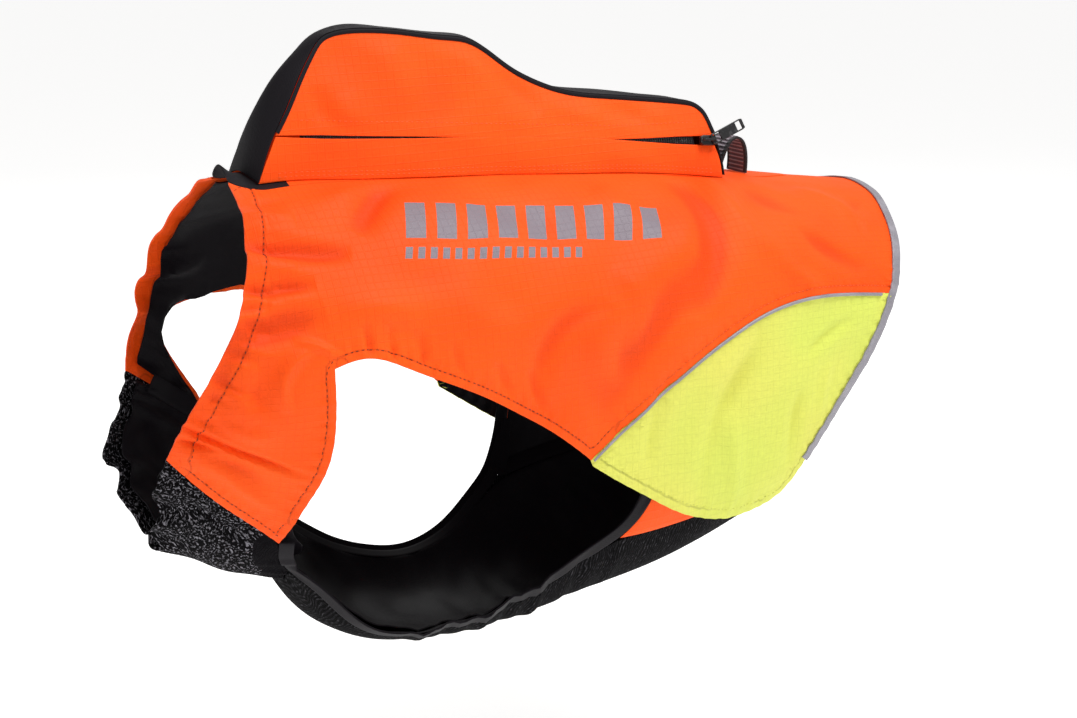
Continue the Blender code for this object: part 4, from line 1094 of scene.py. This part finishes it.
def pocket_arrows(spots, way):
    """Sideways on a wall. On the gusset, away from the inside of the pocket."""
    if way:
        return np.tile((0.0, float(way), 0.0), (len(spots), 1))
    arrows = seen_flat(spots) - POCKET_MIDDLE
    arrows[:, 0] = np.minimum(arrows[:, 0], 0)
    return arrows / np.linalg.norm(arrows, axis=1)[:, None]


def tree_of(spots):
    tree = KDTree(len(spots))
    for k, spot in enumerate(spots):
        tree.insert(spot, k)
    tree.balance()
    return tree


walls = {1: cloth["pocket_wall_right"], -1: cloth["pocket_wall_left"]}
rim = {way: points_of(wall)[rim_of(wall, near_outward if way < 0 else far_outward)]
       for way, wall in walls.items()}
rim_tree = {way: tree_of(seen_flat(spots)) for way, spots in rim.items()}
both_rims = tree_of(np.concatenate(list(rim.values())))
for node, way in POCKET.items():
    piece = cloth[node]
    spots = points_of(piece)
    along, up = spots[:, 0] / MM, spots[:, 2] / MM
    flat = np.column_stack([spots[:, 0], spots[:, 2], np.zeros(len(spots))])
    if way:
        far = np.array([rim_tree[way].find(spot)[2] for spot in seen_flat(spots)])
        height = crease_height(POCKET_FOLDS, along + 9 * (way > 0), up, 1.0)
        height += slack(along, up, 3.1 + way)
        height *= smooth(far / MM, 0.5, POCKET_CALM) * (1 - smooth(along, 132, 152))
    else:
        far = np.array([both_rims.find(spot)[2] for spot in spots])
        flat[:, 1] = spots[:, 1]
        height = 1.6 * slack(along + up, spots[:, 1] / MM, 0.8) * smooth(far / MM, 1, 9)
    keep(piece, "laid_flat", "FLOAT_VECTOR", flat)
    keep(piece, "height", "FLOAT", height * MM)
    keep(piece, "from_seam", "FLOAT", np.full(len(spots), 1.0))
    spots = spots + pocket_arrows(spots, way) * (height * MM)[:, None]
    if node in ("pocket_wall_left", "pocket_band_left"):
        spots[:, 2] += gape(along, up) * MM
    move_to(piece, spots)
    print(node, "moved by", [round(float(h), 1) for h in (height.min(), height.max())], "mm")

# %% [markdown]
# ## What every piece needs
#
# Each finished piece has a finish, a body that it moves with, and often a solid that it
# stands for, which is hidden. A rim of cloth is rounded by a narrow bevel along the edges
# that were creased.

# %% What every piece needs
SMOOTH_ANGLE = math.radians(40)


def round_rim(piece):
    """A small bevel along the edges that were creased."""
    creases = piece.data.attributes["crease_edge"]
    weights = np.zeros(len(piece.data.edges), np.float32)
    creases.data.foreach_get("value", weights)
    made = piece.data.attributes.new("bevel_weight_edge", "FLOAT", "EDGE")
    made.data.foreach_set("value", (weights > 0.5).astype(np.float32))
    apply(piece, "BEVEL", width=RIM_ROUND, segments=2, limit_method="WEIGHT")
    only(piece)
    bpy.ops.object.shade_smooth_by_angle(angle=SMOOTH_ANGLE)


def half_area(piece):
    return sum(face.area for face in piece.data.polygons) / 2


def dress(piece, finish, body="vest", replaced=()):
    """What every piece needs: a finish, a body, and the solids it stands for, which are hidden."""
    piece.data.materials.append(finish)
    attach(piece, body)
    if replaced:
        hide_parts(*replaced)

# %% [markdown]
# ## Rows on the cloth
#
# Stitches, piping and tape all follow a line at some distance inside a hem. The line is
# found on the creased cloth: each point of the hem steps inwards, and a ray from outside
# finds the surface there. The rows are found before the rims are rounded, while the points
# still have the numbers that the hems know.

# %% Rows on the cloth
RAY_START = 0.008


def surface(*pieces):
    """A tree of the faces of these pieces, for rays."""
    joined = bmesh.new()
    for piece in pieces:
        joined.from_mesh(piece.data)
    tree = BVHTree.FromBMesh(joined)
    joined.free()
    return tree


def directions(line):
    """Unit arrows along a row of points."""
    arrows = np.gradient(line, axis=0)
    return arrows / np.linalg.norm(arrows, axis=1)[:, None]


def softened(values, reach):
    """Each row of numbers averaged with its neighbours, with the ends repeated."""
    kernel = np.hanning(2 * reach + 3)[1:-1]
    padded_rows = np.pad(values, ((reach, reach), (0, 0)), mode="edge")
    columns = [np.convolve(column, kernel / kernel.sum(), "valid") for column in padded_rows.T]
    return np.column_stack(columns)


def landed(tree, spots, arrows):
    """Where rays from outside meet the cloth. A ray that misses gives nothing."""
    found = [tree.ray_cast(Vector(spot + arrow * RAY_START), Vector(-arrow), 3 * RAY_START)
             for spot, arrow in zip(spots, arrows)]
    hit = np.array([place is not None for place, *_ in found])
    places = np.array([tuple(place) if place else (0, 0, 0) for place, *_ in found])
    return places, hit


def row_inside(hem, inset, tree=None):
    """The line at a distance inside a hem, as points on the cloth and arrows out of it."""
    tree = tree or surface(hem.piece)
    line = softened(points_of(hem.piece)[hem.numbers], 3)
    arrows = hem.outward(line)
    across = np.cross(arrows, directions(line))
    across = softened(across / np.linalg.norm(across, axis=1)[:, None], 5)
    best = max((1, -1), key=lambda way: landed(tree, line + across * 0.003 * way, arrows)[1].sum())
    places, hit = landed(tree, line + across * inset * best, arrows)
    return places[hit], arrows[hit]


def spaced(places, arrows, pitch):
    """The same row with its points at an even pitch."""
    run = np.concatenate([[0], np.cumsum(np.linalg.norm(np.diff(places, axis=0), axis=1))])
    steps = np.arange(pitch / 2, run[-1], pitch)
    return tuple(np.column_stack([np.interp(steps, run, values[:, k]) for k in range(3)])
                 for values in (places, arrows))


# %% [markdown]
# ## Stitches
#
# A stitch is a short arch of thread that dips into the cloth at both ends. One is modelled
# from a small ball, and its copies are joined into one mesh for each kind of thread.

# %% Stitches
STITCH_LONG, STITCH_PITCH, STITCH_THICK = 0.0027, 0.0036, 0.00052


def select_points(piece, chosen):
    """Selects the points for which `chosen` of their place is true, in edit mode."""
    mesh = bmesh.from_edit_mesh(piece.data)
    for point in mesh.verts:
        point.select = chosen(point.co)
    mesh.select_flush(True)
    bmesh.update_edit_mesh(piece.data)


def model_stitch():
    """One stitch at the origin, along X, with Z out of the cloth."""
    bpy.ops.object.select_all(action="DESELECT")
    bpy.ops.mesh.primitive_uv_sphere_add(segments=6, ring_count=5, radius=0.5)
    stitch = bpy.context.object
    stitch.name = "stitch_pattern"
    bpy.ops.object.mode_set(mode="EDIT")
    bpy.ops.mesh.select_all(action="SELECT")
    bpy.ops.transform.rotate(value=math.pi / 2, orient_axis="Y", center_override=(0, 0, 0))
    bpy.ops.transform.resize(value=(STITCH_LONG, STITCH_THICK, STITCH_THICK),
                             center_override=(0, 0, 0))
    select_points(stitch, lambda place: abs(place.x) > STITCH_LONG * 0.38)
    bpy.ops.transform.translate(value=(0, 0, -STITCH_THICK * 0.55))
    bpy.ops.object.mode_set(mode="OBJECT")
    return stitch


def lay_copies(name, pattern, rows):
    """Many copies of a small pattern in one mesh: each row has places, arrows out and ways."""
    corners = points_of(pattern)
    faces = [tuple(face.vertices) for face in pattern.data.polygons]
    places, arrows, ways = (np.concatenate(values) for values in zip(*rows))
    ways = ways - arrows * (ways * arrows).sum(axis=1)[:, None]
    ways /= np.linalg.norm(ways, axis=1)[:, None]
    across = np.cross(arrows, ways)
    frames = np.stack([ways, across, arrows], axis=1)
    spots = places[:, None, :] + np.einsum("pk,nkc->npc", corners, frames)
    mesh = bpy.data.meshes.new(name)
    count = len(corners)
    mesh.from_pydata(spots.reshape(-1, 3).tolist(), [],
                     [tuple(n * count + k for k in face) for n in range(len(places))
                      for face in faces])
    made = bpy.data.objects.new(name, mesh)
    bpy.context.scene.collection.objects.link(made)
    only(made)
    bpy.ops.object.shade_smooth()
    return made


def stitched(places, arrows, lift=0.0):
    """A row for `lay_copies`, at the pitch of a sewing machine."""
    places, arrows = spaced(places, arrows, STITCH_PITCH)
    return places + arrows * lift, arrows, directions(places)


stitch = model_stitch()
print("a stitch has", len(stitch.data.polygons), "faces")

# %% Rows of stitches on the trunk
STITCH_LIFT = 0.00005
DARK_SEAMS = ("neck", "strap_end", "strap_rear", "armhole")
dark_rows, orange_rows, yellow_rows = [], [], []
for side in SIDES:
    panel = surface(cloth["side_" + side])
    for name in SIDE_HEMS:
        hem = hems[name, side]
        rows = dark_rows if name in DARK_SEAMS else orange_rows
        rows.append(stitched(*row_inside(hem, hem.wide * STITCH_SHARE, panel), STITCH_LIFT))
    hem = hems["flap", side]
    yellow_rows.append(stitched(*row_inside(hem, hem.wide * STITCH_SHARE), STITCH_LIFT))
seams = {"dark_stitches": (dark_rows, dark_thread, "orange_shell"),
         "yellow_stitches": (yellow_rows, yellow_thread, "yellow_shell")}

# %% Rows of stitches on the pocket
BAND_ROWS = (2.6, 5.0)
ZIP_ROW = 9.0
NEAR_WALL = cloth["pocket_wall_left"]
band_foot = Hem(cloth["pocket_band_left"], np.array([-158, 5]), np.array([170, -17]),
                np.array([5, -2]), near_outward, wall_place)
zip_top = Hem(NEAR_WALL, np.array([-140, 36]), np.array([160, 12]), np.array([0, 26]),
              near_outward, wall_place)
orange_rows += [stitched(*row_inside(band_foot, inset * MM), STITCH_LIFT)
                for inset in BAND_ROWS]
orange_rows.append(stitched(*row_inside(zip_top, ZIP_ROW * MM), STITCH_LIFT))
seams["orange_stitches"] = (orange_rows, orange_thread, "orange_shell")
print({name: sum(len(row[0]) for row in rows) for name, (rows, *_) in seams.items()})

for name, (rows, thread, slot) in seams.items():
    made = lay_copies(name, stitch, rows)
    dress(made, thread)
bpy.data.objects.remove(stitch)

# %% [markdown]
# ## The zip
#
# A coil zip is a chain of bent bristles on a woven tape. One bristle is modelled as a small
# bar with its edges bevelled off, and a row of copies runs along each side of the zip's
# line. The cloth gapes over it at the ends and closes over it in the middle.

# %% The zip's teeth
TOOTH_PITCH, TOOTH_LONG, TOOTH_THICK = 0.0015, 0.0026, 0.0009
TEETH_OFF = 0.0012
TEETH_FROM, TEETH_TO = -0.136, 0.156


def model_tooth():
    """A bar across the zip: X runs along the zip and Y across it."""
    bpy.ops.object.select_all(action="DESELECT")
    bpy.ops.mesh.primitive_cube_add(size=1)
    tooth = bpy.context.object
    tooth.name = "tooth_pattern"
    bpy.ops.object.mode_set(mode="EDIT")
    bpy.ops.mesh.select_all(action="SELECT")
    bpy.ops.transform.resize(value=(TOOTH_PITCH * 0.62, TOOTH_LONG, TOOTH_THICK),
                             center_override=(0, 0, 0))
    bpy.ops.mesh.bevel(offset=TOOTH_THICK * 0.3, segments=1)
    select_points(tooth, lambda place: place.z > TOOTH_THICK * 0.2)
    bpy.ops.transform.resize(value=(1, 0.78, 1), center_override=(0, 0, 0))
    bpy.ops.object.mode_set(mode="OBJECT")
    return tooth


tooth = model_tooth()
tape_faces = surface(cloth["zip_tape"])
teeth_rows = []
for way in (1, -1):
    along = np.arange(TEETH_FROM, TEETH_TO, TOOTH_PITCH) + (way > 0) * TOOTH_PITCH / 2
    up = zip_height(along / MM) * MM + way * TEETH_OFF
    spots = np.column_stack([along, np.full(len(along), -0.03), up])
    arrows = near_outward(spots)
    places, hit = landed(tape_faces, spots, arrows)
    places = places[hit] + arrows[hit] * TOOTH_THICK * 0.35
    teeth_rows.append((places, arrows[hit], directions(places)))
teeth = lay_copies("zip_teeth", tooth, teeth_rows)
dress(teeth, black_lacquer)
bpy.data.objects.remove(tooth)
print(sum(len(row[0]) for row in teeth_rows), "teeth")

# %% [markdown]
# ## Piping and inside tapes
#
# Piping is a narrow fold of tape that stands a little proud of a seam. On the inside, each
# seam between two materials is covered by a black tape, so that no raw edge rubs the dog.
# Both are ribbons: a row of points, widened to each side and given a thickness.

# %% Ribbons along a row
def ribbon(name, places, arrows, wide, thick, crown=0.0, sides=4):
    """A strip along a row, centred on it, with its middle raised by `crown`."""
    across = np.cross(arrows, directions(places))
    across /= np.linalg.norm(across, axis=1)[:, None]
    steps = np.linspace(-1, 1, sides + 1)
    rows = [places + across * (step * wide / 2)
            + arrows * (crown * (1 - step ** 2)) for step in steps]
    grid = np.stack(rows, axis=1)
    count = sides + 1
    faces = [(n * count + k, n * count + k + 1, (n + 1) * count + k + 1, (n + 1) * count + k)
             for n in range(len(places) - 1) for k in range(sides)]
    mesh = bpy.data.meshes.new(name)
    mesh.from_pydata(grid.reshape(-1, 3).tolist(), [], faces)
    made = bpy.data.objects.new(name, mesh)
    bpy.context.scene.collection.objects.link(made)
    if (np.array(mesh.polygons[0].normal) @ arrows[0]) < 0:
        mesh.flip_normals()
    apply(made, "SOLIDIFY", thickness=thick, offset=0, use_even_offset=True)
    apply(made, "BEVEL", width=thick * 0.3, segments=2, limit_method="ANGLE",
          angle_limit=math.radians(60))
    only(made)
    bpy.ops.object.shade_smooth_by_angle(angle=SMOOTH_ANGLE)
    return made


# %% Piping
PIPE_WIDE, PIPE_THICK, PIPE_CROWN = 0.0020, 0.0008, 0.0006
PIPE_INSET, PIPE_PITCH, PIPE_LIFT = 0.0009, 0.0024, 0.0007
for side in SIDES:
    flap_top = Hem(cloth["flap_" + side], at(23, 117), at(274, 76), at(143, 79))
    places, arrows = row_inside(flap_top, PIPE_INSET)
    places, arrows = spaced(softened(places, 4), arrows, PIPE_PITCH)
    piping = ribbon("piping_" + side + "_cord", places + arrows * PIPE_LIFT, arrows,
                    PIPE_WIDE, PIPE_THICK, PIPE_CROWN)
    dress(piping, reflective_tape, replaced=["piping_" + side])
    print(piping.name, round(half_area(piping), 5))

# %% Tapes over the inside seams
TAPE_THICK, TAPE_CLEAR, TAPE_PITCH = 0.0007, 0.0006, 0.003
TAPE_PROBE = 0.45  # the lining is felt for this share of the width to each side
FEELER = 0.3  # longer than the way from the trunk's middle line to any wall
TAPE_WIDE, BAND_TAPE_WIDE, BREAST_TAPE_WIDE = 0.013, 0.0075, 0.025
INNER = [cloth[node] for node in TRUNK if not node.startswith(("flap", "piping"))]
inside = surface(*INNER)


def inside_tape(name, hem, wide):
    """A tape on the inner side of the seam along a hem."""
    line, _ = spaced(points_of(hem.piece)[hem.numbers], outwards(hem.spots),
                     TAPE_PITCH)
    arrows = outwards(line)
    across = np.cross(arrows, directions(line))
    radii = []
    for step in (-1, 0, 1):
        spots = line + across * step * wide * TAPE_PROBE
        middle = spots.copy()
        middle[:, 1:] = (0, TRUNK_HEIGHT)
        ways = outwards(spots)
        hits = [inside.ray_cast(Vector(m), Vector(w), FEELER)[3]
                for m, w in zip(middle, ways)]
        radii.append([hit if hit is not None else 1.0 for hit in hits])
    radius = np.min(radii, axis=0)[:, None]
    radius = softened(radius, 4) - TAPE_CLEAR
    middle = line.copy()
    middle[:, 1:] = (0, TRUNK_HEIGHT)
    tape = ribbon(name, middle + arrows * radius, arrows, wide, TAPE_THICK)
    dress(tape, lining_cloth)
    hem.length()
    return tape


for side in SIDES:
    inside_tape("seam_tape_chest_" + side, hems["strap_end", side], TAPE_WIDE)
    gusset = Hem(cloth["gusset_" + side], at(76, 136), at(190, 140), at(132, 142))
    inside_tape("seam_tape_gusset_" + side, gusset, TAPE_WIDE)
    band = Hem(cloth["armhole_band_" + side], at(-160, 158), at(76, 132), at(-40, 160))
    inside_tape("seam_tape_band_" + side, band, BAND_TAPE_WIDE)
inside_tape("seam_tape_breast", hems["chest_rear", "both"], BREAST_TAPE_WIDE)

# %% [markdown]
# ## The pocket's top seams
#
# Where a wall of the pocket meets the gusset, the seam is taped over with black, which shows
# as a thin dark line along the whole top of the pocket.

# %% The pocket's top seams
SEAM_WIDE, SEAM_THICK, SEAM_CROWN, SEAM_PITCH = 0.0026, 0.0008, 0.0005, 0.0022
SEAM_LIFT = 0.0004
for side, outward, foot in (("left", near_outward, ((-170, 32), (176, 9))),
                            ("right", far_outward, ((-200, -4), (190, -14)))):
    top = Hem(cloth["pocket_wall_" + side], *map(np.array, foot), np.array((-70, 92)),
              outward, wall_place)
    places, arrows = spaced(softened(top.spots, 2), outward(top.spots), SEAM_PITCH)
    cover = ribbon("pocket_seam_" + side, places + arrows * SEAM_LIFT, arrows,
                   SEAM_WIDE, SEAM_THICK, SEAM_CROWN)
    dress(cover, black_cloth)

# %% [markdown]
# ## The webbing loop
#
# The lead's loop is heavy webbing, folded into an arch. Its face has pale cross ribs, and
# both its edges are woven plain and black. The ribs are too big for bump, so the faces
# are raised in waves along the arch.

# %% The webbing loop
LOOP_PATH = ((190, -17.7), (193, -9.2), (196.5, -1.2), (201, 4.3), (206, 5.3), (210, 1.3),
             (212, -5.2), (212.5, -13.2), (212, -19.2))
RIB_PITCH, RIB_RISE, SELVEDGE = 0.0029, 0.00035, 0.0026


def along_path(spots, path):
    """How far along a path each point is, seen from the side, in metres."""
    corners = np.array(path) * MM
    steps = np.linalg.norm(np.diff(corners, axis=0), axis=1)
    best = np.full(len(spots), 1.0)
    run = np.zeros(len(spots))
    for k, step in enumerate(steps):
        chord = (corners[k + 1] - corners[k]) / step
        share = np.clip((spots[:, (0, 2)] - corners[k]) @ chord, 0, step)
        off = np.linalg.norm(spots[:, (0, 2)] - corners[k] - share[:, None] * chord, axis=1)
        run = np.where(off < best, steps[:k].sum() + share, run)
        best = np.minimum(best, off)
    return run


def ribbed_finish():
    """Pale ribs across a mauve-grey ground, between two black selvedges."""
    web = Finish("ribbed_webbing", {"Specular IOR Level": 0.35, "Sheen Weight": 0.1})
    along, across, _ = web.parts(web.laid_flat())
    rib = web.ramp(web.waves(along, RIB_PITCH), 0.66, 0.9)
    edge = web.ramp(web.maths("ABSOLUTE", across), web_half - SELVEDGE - 0.0003,
                    web_half - SELVEDGE + 0.0003)
    grain = web.noise(web.stretched(web.laid_flat(), (500, 2600, 1)), 1.0, 2.0)
    ground = web.mix(grain, (0.085, 0.055, 0.072), (0.16, 0.115, 0.14))
    tone = web.mix(rib * (0.5 + 0.5 * grain), ground, (0.52, 0.47, 0.52))
    web.set("Base Color", web.mix(edge, tone, (0.010, 0.009, 0.011)))
    web.set("Roughness", 0.62 + grain * 0.2)
    web.bump(grain + web.waves(across, 0.0009) * 0.5, 0.00025)
    return web.material


loop = fine_copy("webbing_loop", 3)
spots = points_of(loop)
run = along_path(spots, LOOP_PATH)
low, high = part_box("webbing_loop")
web_middle, web_half = (low.y + high.y) / 2, (high.y - low.y) / 2
keep(loop, "laid_flat", "FLOAT_VECTOR",
     np.column_stack([run, spots[:, 1] - web_middle, np.zeros(len(spots))]))
normals = np.zeros(len(spots) * 3)
loop.data.vertices.foreach_get("normal", normals)
inner = smooth(web_half - np.abs(spots[:, 1] - web_middle), SELVEDGE - 0.0006, SELVEDGE)
ribs = RIB_RISE * np.sin(run * 2 * math.pi / RIB_PITCH) * inner
move_to(loop, spots + normals.reshape(-1, 3) * ribs[:, None])
only(loop)
bpy.ops.object.shade_smooth_by_angle(angle=SMOOTH_ANGLE)
dress(loop, ribbed_finish(), replaced=["webbing_loop"])
print("the loop is", round(half_area(loop), 5), "m2 of webbing")

# %% [markdown]
# ## The slider and its pull tab
#
# Both are cast zinc with black lacquer. Casting leaves no sharp edge, so a copy of each
# solid has all its edges rounded. The tab keeps its two windows, and it swings on the
# slider's bridge, so it rides on its own body.

# %% The slider and its pull tab
CAST_ROUND = {"zip_slider": 0.00028, "pull_tab": 0.0002}
CAST_ANGLE = math.radians(30)
for node, body in (("zip_slider", "vest"), ("pull_tab", "pull_tab")):
    casting = bpy.data.objects.new(node + "_casting", NODES[node].data.copy())
    bpy.context.scene.collection.objects.link(casting)
    casting.data.materials.clear()
    only(casting)
    bpy.ops.mesh.customdata_custom_splitnormals_clear()
    bpy.ops.object.mode_set(mode="EDIT")
    bpy.ops.mesh.select_all(action="SELECT")
    bpy.ops.mesh.remove_doubles(threshold=MERGE)
    bpy.ops.mesh.dissolve_limited(angle_limit=math.radians(1))
    bpy.ops.object.mode_set(mode="OBJECT")
    apply(casting, "BEVEL", width=CAST_ROUND[node], segments=3, limit_method="ANGLE",
          angle_limit=CAST_ANGLE)
    only(casting)
    bpy.ops.object.shade_smooth_by_angle(angle=CAST_ANGLE)
    dress(casting, black_lacquer, body=body, replaced=[node])
    print(casting.name, len(casting.data.polygons), "faces")

# %% [markdown]
# ## Finishing each sheet
#
# Each sheet gets its rounded rim, its finish, the solid that it stands for, and the body that
# it moves with. Its row also lists the slot of its colour, the size that it was cut to, and
# how it is held; of these only the area is used, printed beside the area that the piece has.

# %% Finishing each sheet
SHEET_COLUMNS = ("node", "finish", "slot", "long", "wide", "area", "held")
SHEETS = (
    ("side_left", printed_cloth, "orange_shell", 0.57, 0.28, 0.085, "draped"),
    ("side_right", printed_cloth, "orange_shell", 0.57, 0.28, 0.078, "draped"),
    ("flap_left", yellow_cloth, "yellow_shell", 0.26, 0.13, 0.0236, "hung"),
    ("flap_right", yellow_cloth, "yellow_shell", 0.26, 0.13, 0.0236, "hung"),
    ("back_panel", black_cloth, "black_shell", 0.43, 0.06, 0.0234, "stretched"),
    ("gusset_left", orange_cloth, "orange_shell", 0.15, 0.09, 0.008, "stretched"),
    ("gusset_right", orange_cloth, "orange_shell", 0.15, 0.09, 0.008, "stretched"),
    ("lining_left", lining_cloth, "black_lining", 0.56, 0.28, 0.075, "draped"),
    ("lining_right", lining_cloth, "black_lining", 0.56, 0.28, 0.069, "draped"),
    ("chest_lining", lining_cloth, "black_lining", 0.26, 0.085, 0.016, "stretched"),
    ("belly_lining", lining_cloth, "black_lining", 0.35, 0.25, 0.060, "stretched"),
    ("chest_panel", flecked_knit, "grey_knit", 0.276, 0.09, 0.020, "gathered"),
    ("belly_panel", ribbed_knit, "grey_knit", 0.36, 0.27, 0.067, "gathered"),
    ("armhole_band_left", lining_cloth, "black_shell", 0.26, 0.02, 0.004, "stretched"),
    ("armhole_band_right", lining_cloth, "black_shell", 0.26, 0.02, 0.004, "stretched"),
    ("tail_binding", reflective_tape, "reflective_grey", 0.60, 0.02, 0.010, "stretched"),
    ("pocket_wall_left", orange_cloth, "orange_shell", 0.33, 0.07, 0.014, "stretched"),
    ("pocket_band_left", orange_cloth, "orange_shell", 0.30, 0.04, 0.008, "stretched"),
    ("pocket_wall_right", orange_cloth, "orange_shell", 0.34, 0.10, 0.023, "stretched"),
    ("pocket_gusset", black_cloth, "black_shell", 0.36, 0.045, 0.013, "stretched"),
    ("zip_tape", black_cloth, "zip_tape_black", 0.30, 0.02, 0.004, "stretched"),
)
LINED = ("flap", "gusset")


def line_inside(piece):
    """Gives the faces that look inwards the black lining."""
    piece.data.materials.append(lining_cloth)
    for face in piece.data.polygons:
        arrow = outwards(np.array([face.center]))[0]
        face.material_index = int(face.normal.dot(Vector(arrow)) < -0.3)


FACED_FROM, FACED_TURN = -0.150, -0.3


def face_outside(piece):
    """Gives the outer face of the back panel the orange facing that the pocket sits on."""
    piece.data.materials.append(orange_cloth)
    for face in piece.data.polygons:
        arrow = outwards(np.array([face.center]))[0]
        outer = face.normal.dot(Vector(arrow)) > FACED_TURN
        face.material_index = int(outer and face.center.x > FACED_FROM)


for row in SHEETS:
    sheet = dict(zip(SHEET_COLUMNS, row))
    piece = cloth[sheet["node"]]
    round_rim(piece)
    dress(piece, sheet["finish"], replaced=[sheet["node"]])
    if sheet["node"].startswith(LINED):
        line_inside(piece)
    if sheet["node"] == "back_panel":
        face_outside(piece)
    print(piece.name, len(piece.data.polygons), "faces, cloth", round(half_area(piece), 4),
          "of", sheet["area"])
